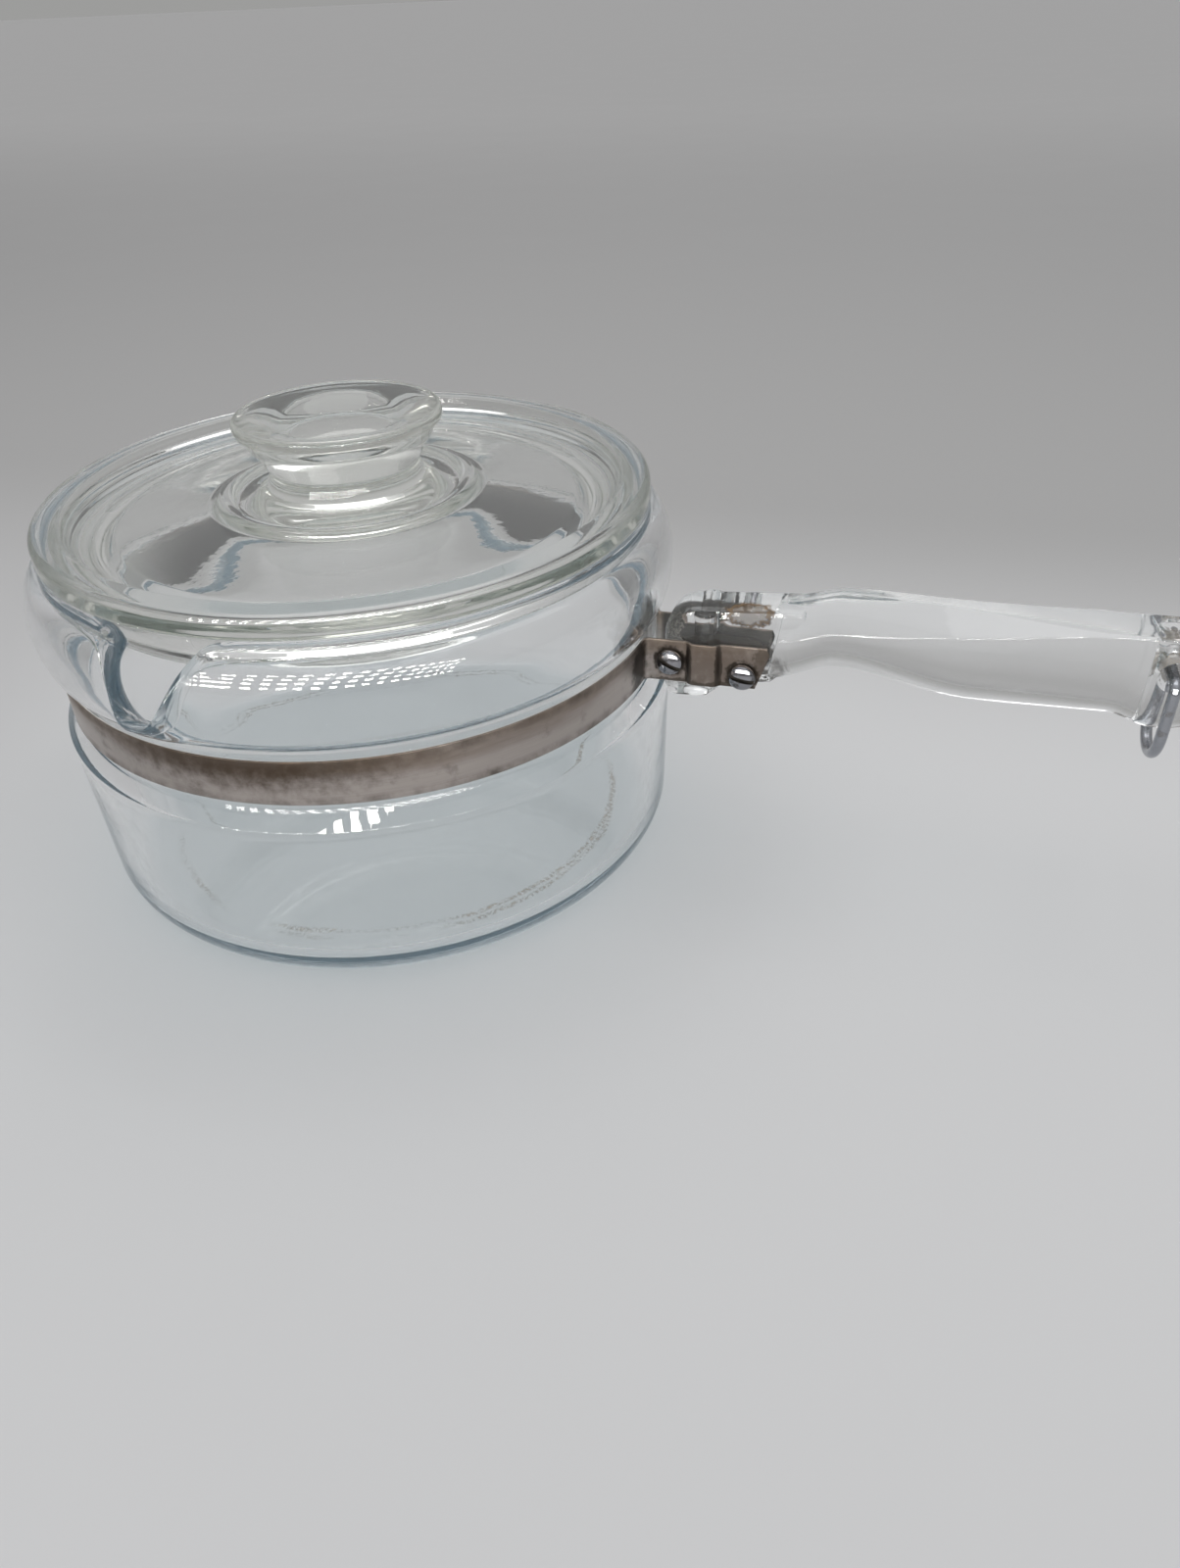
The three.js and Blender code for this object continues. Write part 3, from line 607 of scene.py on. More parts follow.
def spread(line: Sequence[Point], longest: float) -> list[Point]:
    """Split the long pieces of a line.

    Args:
        line: The line's points.
        longest: Length above which a piece is split.

    Returns:
        The finer line.
    """
    made = [line[0]]
    for first, second in zip(line, line[1:]):
        count = max(1, math.ceil(math.dist(first, second) / longest))
        made += [tuple(a + (b - a) * i / count for a, b in zip(first, second)) for i in range(1, count + 1)]
    return made


def ease(value: float, low: float, high: float) -> float:
    """Smooth share of a value between two others."""
    t = min(1.0, max(0.0, (value - low) / (high - low)))
    return t * t * (3 - 2 * t)


def smooth_line(stations: Sequence[Point]) -> Callable[[float], float]:
    """A smooth line through stations.

    Args:
        stations: Places along the line and its values there.

    Returns:
        A function that gives the value at a place.
    """
    def value(at: float) -> float:
        """Value at one place.

        Args:
            at: The place.

        Returns:
            The value.
        """
        made = stations[0][1]
        for (low, first), (high, second) in zip(stations, stations[1:]):
            if at > low:
                made = first + (second - first) * ease(at, low, high)
        return made

    return value


def polar(radius: float, height: float, angle: float) -> Vector:
    """Place at a radius, a height and an angle about +Z."""
    return Vector((radius * math.cos(angle), radius * math.sin(angle), height))


def rod(radius: float, low: float, high: float) -> list[Point]:
    """Profile of a plain rod between two heights."""
    return [(0.0, low), (radius, low), (radius, high), (0.0, high)]


class Former:
    """Makes and joins the meshes."""

    @staticmethod
    def mesh(name: str, corners: Sequence[Vector], faces: Sequence[Sequence[int]]) -> bpy.types.Object:
        """Make a closed smooth object with its faces pointing out.

        Args:
            name: The piece's name.
            corners: Its corners.
            faces: Its faces.

        Returns:
            The object.
        """
        data = bpy.data.meshes.new(name)
        data.from_pydata([tuple(c) for c in corners], [], faces)
        work = bmesh.new()
        work.from_mesh(data)
        bmesh.ops.remove_doubles(work, verts=work.verts, dist=WELD_GAP)
        bmesh.ops.recalc_face_normals(work, faces=work.faces)
        work.to_mesh(data)
        work.free()
        made = bpy.data.objects.new(name, data)
        bpy.context.scene.collection.objects.link(made)
        return made

    @classmethod
    def grid(cls, name: str, rings: Sequence[Sequence[Vector]]) -> bpy.types.Object:
        """Join closed rings of equal count into a body with flat ends.

        Args:
            name: The piece's name.
            rings: The rings in order. A ring of one point closes an end.

        Returns:
            The object.
        """
        corners = [p for ring in rings for p in ring]
        starts = [0]
        for ring in rings:
            starts.append(starts[-1] + len(ring))
        faces: list[list[int]] = []
        for k, (ring, after) in enumerate(zip(rings, rings[1:])):
            for j in range(max(len(ring), len(after))):
                low = [starts[k] + (j + s) % len(ring) for s in (0, 1)]
                high = [starts[k + 1] + (j + s) % len(after) for s in (1, 0)]
                faces.append(list(dict.fromkeys(low + high)))
        for k in (0, len(rings) - 1):
            if len(rings[k]) > 1:
                faces.append([starts[k] + j for j in range(len(rings[k]))])
        return cls.mesh(name, corners, faces)

    @classmethod
    def turned(cls, name: str, profile: Sequence[Point], steps: int,
               place: Callable[[float, float, float], Vector] = polar) -> bpy.types.Object:
        """Turn a profile about +Z.

        Args:
            name: The piece's name.
            profile: Radius and height, from the axis and back to it.
            steps: Facets round the axis.
            place: Gives the place of a radius, height and angle, where the piece isn't quite round.

        Returns:
            The object.
        """
        rings = []
        for radius, height in profile:
            count = steps if radius > NOTHING else 1
            rings.append([place(radius, height, FULL_TURN * j / steps) for j in range(count)])
        return cls.grid(name, rings)

    @classmethod
    def tube(cls, name: str, path: Sequence[Vector], section: Sequence[Point],
             up: Vector) -> bpy.types.Object:
        """Carry a section along a flat path.

        Args:
            name: The piece's name.
            path: The path.
            section: The section: across the path in its plane, and along up.
            up: Normal of the path's plane.

        Returns:
            The object.
        """
        rings = []
        for i, spot in enumerate(path):
            arriving = (spot - path[i - 1] if i else path[1] - spot).normalized()
            leaving = (path[i + 1] - spot).normalized() if i < len(path) - 1 else arriving
            ahead = (arriving + leaving).normalized()
            side = up.cross(ahead) / max(MITRE_LIMIT, ahead.dot(arriving))
            rings.append([spot + side * u + up * v for u, v in section])
        return cls.grid(name, rings)

    @classmethod
    def slab(cls, name: str, outline: Sequence[Point], width: float,
             bevel: float = 0.0) -> bpy.types.Object:
        """Extrude an outline drawn in X and Z across the handle.

        Args:
            name: The piece's name.
            outline: The outline.
            width: Its width across Y, centred.
            bevel: Radius of the edges, or 0 for sharp ones.

        Returns:
            The object.
        """
        steps = EDGE_STEPS if bevel else 0
        angles = [QUARTER_TURN * i / max(1, steps) for i in range(steps + 1)]
        insets = [(bevel * (1 - math.cos(a)), width / 2 - bevel + bevel * math.sin(a)) for a in angles]
        sides = [(d, -y) for d, y in reversed(insets)] + insets
        rings = [[Vector((x, y, z)) for x, z in cls.inset(outline, d)] for d, y in sides]
        return cls.grid(name, rings)

    @staticmethod
    def inset(outline: Sequence[Point], by: float) -> list[Point]:
        """Move a closed outline in along its corners' bisectors.

        Args:
            outline: The outline, going anticlockwise.
            by: Distance.

        Returns:
            The smaller outline.
        """
        made = []
        count = len(outline)
        for i, corner in enumerate(outline):
            spot = Vector(corner)
            arriving = (spot - Vector(outline[i - 1])).normalized()
            leaving = (Vector(outline[(i + 1) % count]) - spot).normalized()
            ahead = (arriving + leaving).normalized()
            reach = by / max(MITRE_LIMIT, ahead.dot(arriving))
            made.append((spot.x - ahead.y * reach, spot.y + ahead.x * reach))
        return made

    @staticmethod
    def settle(made: bpy.types.Object) -> None:
        """Apply an object's modifiers to its mesh.

        Args:
            made: The object.
        """
        bpy.context.view_layer.update()
        ready = made.evaluated_get(bpy.context.evaluated_depsgraph_get())
        fresh = bpy.data.meshes.new_from_object(ready)
        made.modifiers.clear()
        old = made.data
        made.data = fresh
        bpy.data.meshes.remove(old)

    @classmethod
    def combine(cls, made: bpy.types.Object, tools: Sequence[bpy.types.Object], join: Join) -> None:
        """Join or cut an object with others, which are used up.

        Args:
            made: The object that is kept.
            tools: The others.
            join: How they are combined.
        """
        for tool in tools:
            step = made.modifiers.new("join", "BOOLEAN")
            step.operation = join.value
            step.object = tool
            step.solver = "EXACT"
        cls.settle(made)
        for tool in tools:
            bpy.data.objects.remove(tool)

    @classmethod
    def bevel(cls, made: bpy.types.Object, width: float, steps: int) -> None:
        """Round the sharp edges of an object.

        Args:
            made: The object.
            width: Width of the rounding.
            steps: Pieces that it is cut into.
        """
        step = made.modifiers.new("edges", "BEVEL")
        step.width = width
        step.segments = steps
        step.limit_method = "ANGLE"
        step.angle_limit = SHARP_EDGE
        cls.settle(made)

    @staticmethod
    def shade(made: bpy.types.Object, sharp: float) -> None:
        """Shade smooth but for edges sharper than an angle in degrees."""
        made.data.polygons.foreach_set("use_smooth", [True] * len(made.data.polygons))
        made.data.set_sharp_from_angle(angle=math.radians(sharp))

    @classmethod
    def even(cls, made: bpy.types.Object) -> None:
        """Keep large faces flat where they meet the rounding of their edges.

        Args:
            made: The object.
        """
        step = made.modifiers.new("faces", "WEIGHTED_NORMAL")
        step.keep_sharp = True
        cls.settle(made)

    @staticmethod
    def across(made: bpy.types.Object, x: float, z: float, spin: float = 0.0) -> None:
        """Lay what was turned about +Z across the handle at a place, spun about its own axis first."""
        lay = Matrix.Translation((x, 0.0, z)) @ Matrix.Rotation(QUARTER_TURN, 4, "X")
        made.data.transform(lay @ Matrix.Rotation(spin, 4, "Z"))


def dress(made: bpy.types.Object, body: Body, slot: Slot, material: bpy.types.Material, node: str) -> None:
    """Finish a piece and set it on the frame.

    Args:
        made: The piece.
        body: The body that it moves with.
        slot: The record's slot of its finish; not used.
        material: Its material.
        node: The solid that it stands for.
    """
    made.data.materials.clear()
    made.data.materials.append(material)
    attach(made, body.value)
    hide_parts(node)
    LOG.info("%s stands for %s on %s: %d faces", made.name, node, body.value, len(made.data.polygons))


@dataclass(frozen=True)
class Datum:
    """Levels and stations that the pieces share, read from the frame."""

    rim_top: float
    bowl_radius: float
    band_low: float
    band_high: float
    block_front: float
    block_low: float
    grip_end: float
    grip_top: float
    ring_pivot: Vector

    @classmethod
    def read(cls) -> "Datum":
        """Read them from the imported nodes.

        Returns:
            The datum.
        """
        bowl, band, handle = (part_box(name) for name in ("bowl", "clamp_band", "handle"))
        swing = next(joint for joint in frame["joints"] if joint["name"] == "ring_swing")
        return cls(
            rim_top=bowl[1].z,
            bowl_radius=bowl[1].y,
            band_low=band[0].z,
            band_high=band[1].z,
            block_front=handle[0].x,
            block_low=handle[0].z,
            grip_end=handle[1].x,
            grip_top=handle[1].z,
            ring_pivot=Vector(swing["pos_m"]),
        )


@dataclass
class Bowl:
    """The glass pan: rounded base, waist groove, bulge, rim and a pouring spout."""

    datum: Datum
    wall: float = 4.0 * MM
    floor: float = 4.6 * MM
    base_corner: float = 10.0 * MM
    wall_height: float = 50.0 * MM
    wall_taper: float = 1.2 * MM
    shoulder_step: float = 3.9 * MM
    shoulder_rise: float = 4.6 * MM
    ledge_round: float = 0.5 * MM
    inner_ease: float = 3.6 * MM
    groove_margin: float = 1.8 * MM
    groove_depth: float = 4.7 * MM
    bulge_step: float = 1.2 * MM
    bulge_step_rise: float = 1.4 * MM
    bulge_lower: float = 10.5 * MM
    bulge_upper: float = 11.2 * MM
    rim_radius: float = 80.0 * MM
    rim_round: float = 1.8 * MM
    spout_azimuth: float = math.radians(-97.7)
    spout_lip: float = 9.1 * MM
    spout_spread: float = 8.1 * MM
    spout_squareness: float = 4.0
    spout_flare: float = 6.9 * MM
    waver: float = 0.10 * MM
    waver_pitch: float = 26.0 * MM
    crowding: float = 0.66
    steps: int = 288
    corner_steps: int = 12
    ledge_turn: float = 0.5
    ledge_steps: int = 5
    bulge_steps: int = 14
    rim_steps: int = 6
    soft: float = 1.2 * MM
    longest: float = 6.0 * MM

    def __post_init__(self) -> None:
        """Work out the levels and radii."""
        self.groove_top = self.datum.band_high + self.groove_margin
        self.bulge_foot = self.groove_top + self.bulge_step_rise
        self.bulge_middle = self.bulge_foot + self.bulge_lower
        self.bulge_top = self.bulge_middle + self.bulge_upper
        self.groove_radius = self.datum.bowl_radius - self.groove_depth
        self.foot_radius = self.groove_radius + self.bulge_step
        self.shoulder_radius = self.groove_radius + self.shoulder_step
        self.base_radius = self.shoulder_radius - self.wall_taper

    def radius_at(self, height: float, inset: float) -> float:
        """Radius of the bulge.

        Args:
            height: Where it is read.
            inset: 0 for the outside, the wall for the inside.

        Returns:
            The radius.
        """
        radii = (self.foot_radius, self.datum.bowl_radius, self.rim_radius)
        foot, widest, neck = (radius - inset for radius in radii)
        if height <= self.bulge_foot:
            return foot
        if height < self.bulge_middle:
            fall = (self.bulge_middle - height) / self.bulge_lower
            return foot + (widest - foot) * math.sqrt(1 - fall ** 2)
        rise = (height - self.bulge_middle) / (self.bulge_upper - inset / 2)
        return neck + (widest - neck) * math.sqrt(1 - rise ** 2) if rise < 1 else neck

    def bulge_line(self, inset: float) -> list[Point]:
        """Outline of the bulge from its foot to the rim.

        Args:
            inset: 0 for the outside, the wall for the inside.

        Returns:
            Radii and heights.
        """
        top = self.bulge_top - inset / 2
        lower = arc((0, self.bulge_middle), (1, self.bulge_lower), -1, 0, self.bulge_steps)
        upper = arc((0, self.bulge_middle), (1, top - self.bulge_middle), 0, 1, self.bulge_steps)
        return [(self.radius_at(z, inset), z) for _, z in lower + upper[1:]]

    def profile(self) -> list[Point]:
        """Section from the middle of the base, up the outside and down the inside.

        Returns:
            Radii and heights.
        """
        inner = self.base_corner - self.wall / 2
        low = self.datum.rim_top - self.rim_round
        groove_low = self.wall_height + self.shoulder_rise
        corner = (self.base_radius - self.base_corner, self.base_corner)
        hollow = (self.base_radius - self.wall - inner, self.floor + inner)
        ledge = (self.shoulder_radius - self.ledge_round, self.wall_height)
        rim = (self.rim_round, self.rim_round)
        outside = [(0.0, 0.0), *arc(corner, (self.base_corner, self.base_corner), -1, 0, self.corner_steps)]
        outside += arc(ledge, (self.ledge_round, self.ledge_round), 0, self.ledge_turn, self.ledge_steps)
        outside += [(self.groove_radius, groove_low), (self.groove_radius, self.groove_top)]
        outside += self.bulge_line(0.0)
        cap = arc((self.rim_radius - self.rim_round, low), rim, 0, 1, self.rim_steps)
        cap += arc((self.rim_radius - self.wall + self.rim_round, low), rim, 1, 2, self.rim_steps)
        inside = [*reversed(self.bulge_line(self.wall)), (self.groove_radius - self.wall, self.groove_top)]
        inside += [(self.groove_radius - self.wall, groove_low + self.inner_ease)]
        inside += [(self.shoulder_radius - self.wall, self.wall_height - self.inner_ease)]
        inside += [*arc(hollow, (inner, inner), 0, -1, self.corner_steps), (0.0, self.floor)]
        return spread(soften(outside + cap + inside, self.soft), self.longest)

    def place(self, radius: float, height: float, turn: float) -> Vector:
        """Place of a point of the section at one turn from the spout.

        Args:
            radius: Its radius on the plain section.
            height: Its height there.
            turn: Its angle from the spout, before the facets are drawn together.

        Returns:
            The place on the bowl.
        """
        bearing = math.remainder(turn, FULL_TURN)
        away = bearing - self.crowding * math.sin(bearing)
        angle = self.spout_azimuth + away
        across = abs(away * self.datum.bowl_radius / self.spout_spread)
        power = self.spout_squareness
        share = 1 / (1 + across ** power)
        if height > self.bulge_foot:
            steep = power * across ** (power - 1) * share ** 2 / self.spout_spread
            radius, height = self._poured(radius, height, share, steep)
        spot = polar(radius, height, angle)
        quiet = ease(height, self.base_corner, 2 * self.base_corner) * min(1.0, radius / self.groove_radius)
        radius += self.waver * quiet * noise.noise(spot / self.waver_pitch)
        return polar(radius, height, angle)

    def _poured(self, radius: float, height: float, share: float, steep: float) -> Point:
        """Radius and height above the bulge's foot where the spout draws the edge down.

        Args:
            radius: Radius on the plain section.
            height: Height there.
            share: How far the edge comes down, as a share of the spout's depth.
            steep: How fast that share changes along the edge.

        Returns:
            The new radius and height.
        """
        top = self.datum.rim_top
        depth = top - self.bulge_foot - self.spout_lip
        edge = top - depth * share
        straight = top - self.rim_round
        lean = math.hypot(1.0, depth * steep)
        inner, outer = self.radius_at(height, self.wall), self.radius_at(height, 0.0)
        across = (radius - inner) / (outer - inner)
        squeeze = (edge - self.rim_round * lean - self.bulge_foot) / (straight - self.bulge_foot)
        lower = self.bulge_foot + (height - self.bulge_foot) * squeeze
        new = edge - (top - height) * lean if height > straight else lower
        flare = self.spout_flare * share * (new - self.bulge_foot) / (edge - self.bulge_foot)
        inner, outer = self.radius_at(new, self.wall), self.radius_at(new, 0.0)
        return inner + across * (outer - inner) + flare, new

    def build(self, finish: GlassFinish) -> None:
        """Make the bowl.

        Args:
            finish: Its glass.
        """
        made = Former.turned("glass_bowl", self.profile(), self.steps, self.place)
        Former.shade(made, ALL_SMOOTH)
        dress(made, Body.PAN, Slot.BOWL, finish.make(), "bowl")


@dataclass
class Lid:
    """The glass lid: flange, skirt, cove, domed panel, bead, neck and dished knob."""

    datum: Datum
    seat_gap: float = 0.3 * MM
    radius: float = 80.0 * MM
    flange_thickness: float = 6.3 * MM
    flange_width: float = 7.5 * MM
    flange_round: float = 2.2 * MM
    cove_width: float = 7.6 * MM
    cove_drop: float = 5.0 * MM
    glass: float = 4.8 * MM
    crown: float = 2.8 * MM
    skirt_depth: float = 10.5 * MM
    skirt_width: float = 4.6 * MM
    skirt_inset: float = 5.2 * MM
    neck_radius: float = 19.5 * MM
    neck_height: float = 7.5 * MM
    neck_cove: float = 9.8 * MM
    bead_width: float = 5.0 * MM
    bead_height: float = 1.4 * MM
    knob_radius: float = 26.8 * MM
    knob_flare: float = 9.0 * MM
    knob_rim: float = 4.1 * MM
    knob_round: float = 1.3 * MM
    knob_top: float = 7.0 * MM
    dish_side: float = 6.0 * MM
    dish_depth: float = 4.8 * MM
    dish_edge_drop: float = 1.6 * MM
    waver: float = 0.08 * MM
    waver_pitch: float = 20.0 * MM
    steps: int = 256
    skirt_steps: int = 12
    flange_steps: int = 8
    cove_steps: int = 14
    panel_steps: int = 12
    bead_steps: int = 12
    knob_steps: int = 5
    soft: float = 0.8 * MM
    longest: float = 4.0 * MM

    def profile(self) -> list[Point]:
        """Section from the middle of the underside, round the flange and up the knob.

        Returns:
            Radii and heights.
        """
        seat = self.datum.rim_top + self.seat_gap
        top = seat + self.flange_thickness
        panel_edge = self.radius - self.flange_width - self.cove_width
        panel_low = top - self.cove_drop
        panel_high = panel_low + self.crown
        skirt = self.radius - self.skirt_inset
        half = self.skirt_width / 2
        bead_inner = self.neck_radius + self.neck_cove
        bead_outer = bead_inner + self.bead_width
        neck = panel_high + self.neck_height
        knob_low = neck + self.knob_flare
        knob_top = knob_low + self.knob_rim
        cap = self.knob_radius - self.knob_round
        dish = cap - self.knob_top
        ring = (self.flange_round, self.flange_round)
        foot = (skirt - half, seat - self.skirt_depth + half)
        under = [(0.0, panel_high - self.glass), (bead_outer, panel_high - self.glass)]
        under += [(panel_edge - self.glass, panel_low - self.glass)]
        under += arc(foot, (half, half), 2, 4, self.skirt_steps)
        under += [(skirt, seat), (self.radius - self.flange_round / 2, seat)]
        flange = [(self.radius, seat + self.flange_round / 2)]
        turn = (self.radius - self.flange_round, top - self.flange_round)
        flange += arc(turn, ring, 0, 1, self.flange_steps)
        flange += arc((panel_edge, top), (self.cove_width, self.cove_drop), 4, 3, self.cove_steps)
        span, last = bead_outer - panel_edge, self.panel_steps
        rise = [(panel_edge + span * i / last, panel_low + self.crown * math.sin(QUARTER_TURN * i / last))
                for i in range(1, last + 1)]
        bead = self.bead_width / 2
        knob = arc((bead_outer - bead, panel_high), (bead, self.bead_height), 0, 2, self.bead_steps)
        knob += arc((bead_inner, neck), (self.neck_cove, self.neck_height), 3, 2, self.cove_steps)[1:]
        knob += [(cap, knob_low), (self.knob_radius, knob_low + self.knob_round)]
        rounded = (self.knob_round, self.knob_round)
        knob += arc((cap, knob_top - self.knob_round), rounded, 0, 1, self.knob_steps)
        sunk = knob_top - self.dish_depth
        knob += [(dish, knob_top - self.dish_edge_drop), (dish - self.dish_side, sunk), (0.0, sunk)]
        return spread(soften(under + flange + rise + knob, self.soft), self.longest)

    def place(self, radius: float, height: float, turn: float) -> Vector:
        """Place of a point of the section, with the panel's slight waver.

        Args:
            radius: Its radius.
            height: Its height.
            turn: Its angle.

        Returns:
            The place on the lid.
        """
        spot = polar(radius, height, turn)
        lift = self.waver * noise.noise(spot / self.waver_pitch)
        return spot + Vector((0.0, 0.0, lift * ease(radius, 0.0, self.neck_radius)))

    def build(self, finish: GlassFinish) -> None:
        """Make the lid.

        Args:
            finish: Its glass.
        """
        made = Former.turned("glass_lid", self.profile(), self.steps, self.place)
        Former.shade(made, ALL_SMOOTH)
        dress(made, Body.LID, Slot.LID, finish.make(), "lid")


@dataclass
class Clamp:
    """The steel band with its two ears, the two screws and their square nuts."""

    datum: Datum
    band_radius: float = 81.7 * MM
    thickness: float = 0.8 * MM
    ear_bend: float = 1.6 * MM
    ear_inside: float = 7.2 * MM
    ear_slant: float = 4.2 * MM
    ear_corner: float = 2.0 * MM
    ear_tail: float = 4.0 * MM
    ear_edge: float = 1.25 * MM
    edge_round: float = 0.18 * MM
    rib_width: float = 5.2 * MM
    rib_depth: float = 1.3 * MM
    channel_fit: float = 0.6 * MM
    channel_slope: float = 0.8
    screw_radius: float = 2.0 * MM
    head_radius: float = 3.55 * MM
    head_edge: float = 0.6 * MM
    head_dome: float = 1.8 * MM
    slot_width: float = 1.2 * MM
    slot_depth: float = 1.3 * MM
    head_reach: float = 1.35 * MM
    front_gap: float = 1.0 * MM
    rear_gap: float = 2.5 * MM
    fit: float = 0.3 * MM
    thread_pitch: float = 0.7 * MM
    thread_depth: float = 0.3 * MM
    nut_wall: float = 1.4 * MM
    nut_thickness: float = 3.2 * MM
    nut_chamfer: float = 0.9 * MM
    screw_tail: float = 1.0 * MM
    front_turn: float = math.radians(62.0)
    rear_turn: float = math.radians(78.0)
    corner_slope: float = 0.8
    thread_fill: float = 0.9
    shank_share: float = 0.9
    tip_chamfer: float = 0.5 * MM
    head_soft: float = 0.25 * MM
    nut_edge: float = 0.35 * MM
    upright: float = 0.1
    ear_soft: float = 0.9 * MM
    ear_longest: float = 1.2 * MM
    strip_longest: float = 1.5 * MM
    bend_steps: int = 10
    ring_steps: int = 110
    hole_steps: int = 40
    screw_steps: int = 48
    dome_steps: int = 14
    thread_steps: int = 6
    bore_steps: int = 32
    band_sharp: float = 40.0
    screw_sharp: float = 42.0
    nut_sharp: float = 38.0

    def __post_init__(self) -> None:
        """Work out the places along the ears."""
        self.front_x = self.datum.block_front - self.head_reach + self.head_radius
        self.channel_half = self.rib_width / 2 + self.channel_fit
        self.channel_foot = self.channel_half + self.rib_depth * self.channel_slope
        self.rib_x = self.front_x + self.head_radius + self.front_gap + self.channel_foot
        self.rear_x = self.rib_x + self.channel_foot + self.rear_gap + self.head_radius
        self.ear_rear = self.rear_x + self.head_radius + self.ear_tail
        self.ear_outside = self.ear_inside + self.thickness
        self.ear_hole = self.screw_radius + self.fit
        self.screws = {
            "front": (self.front_x, (self.datum.band_low + self.datum.band_high) / 2),
            "rear": (self.rear_x, self.datum.band_low + self.ear_edge + self.ear_hole),
        }
        self.slot_turns = {"front": self.front_turn, "rear": self.rear_turn}

    def path(self) -> list[Vector]:
        """Middle of the strip from above: in along one ear, round the bowl and out along the other.

        Returns:
            The path.
        """
        lane = self.ear_inside + self.thickness / 2
        ring = self.band_radius + self.thickness / 2
        bend = self.ear_bend + self.thickness / 2
        angle = math.asin((lane + bend) / (ring + bend))
        start = angle / QUARTER_TURN
        raised = lane + self.rib_depth
        ear = [(self.ear_rear, lane)]
        ear += [(self.rib_x + self.channel_foot, lane), (self.rib_x + self.channel_half, raised)]
        ear += [(self.rib_x - self.channel_half, raised), (self.rib_x - self.channel_foot, lane)]
        turn = ((ring + bend) * math.cos(angle), lane + bend)
        ear += arc(turn, (bend, bend), 3, 2 + start, self.bend_steps)
        half = spread(soften(ear, self.ear_soft), self.ear_longest)
        half += arc((0, 0), (ring, ring), start, 2, self.ring_steps)[1:]
        mirrored = [(x, -y) for x, y in reversed(half[:-1])]
        return [Vector((x, y, 0.0)) for x, y in half + mirrored]

    def section(self) -> list[Point]:
        """Section of the strip, with rolled edges.

        Returns:
            Points across its thickness and up its height.
        """
        half, low, high = self.thickness / 2, self.datum.band_low, self.datum.band_high
        sharp = [(half, low), (half, high), (-half, high), (-half, low)]
        closed = soften([*sharp, sharp[0], sharp[1]], self.edge_round)[1:]
        return spread(closed[:-2], self.strip_longest)

    def slanted(self, made: bpy.types.Object) -> None:
        """Draw the ears' rear ends to their slanted edge.

        Args:
            made: The strip.
        """
        start = self.rear_x + self.ear_hole
        height = self.datum.band_high - self.datum.band_low
        for corner in made.data.vertices:
            if corner.co.x > start:
                down = self.datum.band_high - corner.co.z
                nick = max(0.0, self.ear_corner - down) * self.corner_slope
                end = self.ear_rear - self.ear_slant * down / height - nick
                corner.co.x = start + (corner.co.x - start) * (end - start) / (self.ear_rear - start)

    def band(self, finish: BandFinish) -> None:
        """Make the band.

        Args:
            finish: Its steel.
        """
        made = Former.tube("steel_band", self.path(), self.section(), Vector((0.0, 0.0, 1.0)))
        self.slanted(made)
        holes = []
        reach = 2 * self.ear_outside
        for name, (x, z) in self.screws.items():
            hole = Former.turned(f"{name}_hole", rod(self.ear_hole, -reach, reach), self.hole_steps)
            Former.across(hole, x, z)
            holes.append(hole)
        Former.combine(made, holes, Join.CUT)
        Former.shade(made, self.band_sharp)
        dress(made, Body.PAN, Slot.BAND, finish.make(), "clamp_band")

    def thread(self, radius: float, height: float, turn: float) -> Vector:
        """Place on a threaded shank.

        Args:
            radius: Radius on the plain profile.
            height: Distance along the screw.
            turn: Angle round it.

        Returns:
            The place, cut in where the thread's groove is.
        """
        if height < self.ear_outside - self.fit and radius > self.shank_share * self.screw_radius:
            wave = (height / self.thread_pitch + turn / FULL_TURN) % 1.0
            radius -= self.thread_depth * (1 - abs(2 * wave - 1)) * self.thread_fill
        return polar(radius, height, turn)

    def screw(self, name: str, finish: bpy.types.Material, soil_and_shade: bpy.types.Material) -> None:
        """Make one slotted dome-head screw.

        Args:
            name: Which of the two.
            finish: Its plating.
            soil_and_shade: Dirt and painted shade in its slot.
        """
        x, z = self.screws[name]
        seat = self.ear_outside + self.fit
        tip = -(seat + self.nut_thickness + self.screw_tail)
        dome = seat + self.head_edge
        radius, top = self.screw_radius, dome + self.head_dome
        shank = [(0.0, tip), (radius - self.tip_chamfer, tip)]
        shank += [(radius, tip + self.tip_chamfer), (radius, seat)]
        shank = spread(shank, self.thread_pitch / self.thread_steps)
        head = soften([(radius, seat), (self.head_radius, seat), (self.head_radius, dome)], self.head_soft)
        head += arc((0.0, dome), (self.head_radius, self.head_dome), 0, 1, self.dome_steps)[1:]
        made = Former.turned(f"{name}_screw", shank + head[1:], self.screw_steps, self.thread)
        slot = Former.slab(f"{name}_slot", self._slot_outline(top), 4 * self.head_radius)
        Former.combine(made, [slot], Join.CUT)
        # The slot's faces take the second material: dirt and painted shade in the recess.
        sunk = [int(self._sunk(face, top - self.slot_depth)) for face in made.data.polygons]
        Former.across(made, x, z, self.slot_turns[name])
        Former.shade(made, self.screw_sharp)
        dress(made, Body.PAN, Slot.SCREW, finish, f"{name}_clamp_screw")
        made.data.materials.append(soil_and_shade)
        made.data.polygons.foreach_set("material_index", sunk)

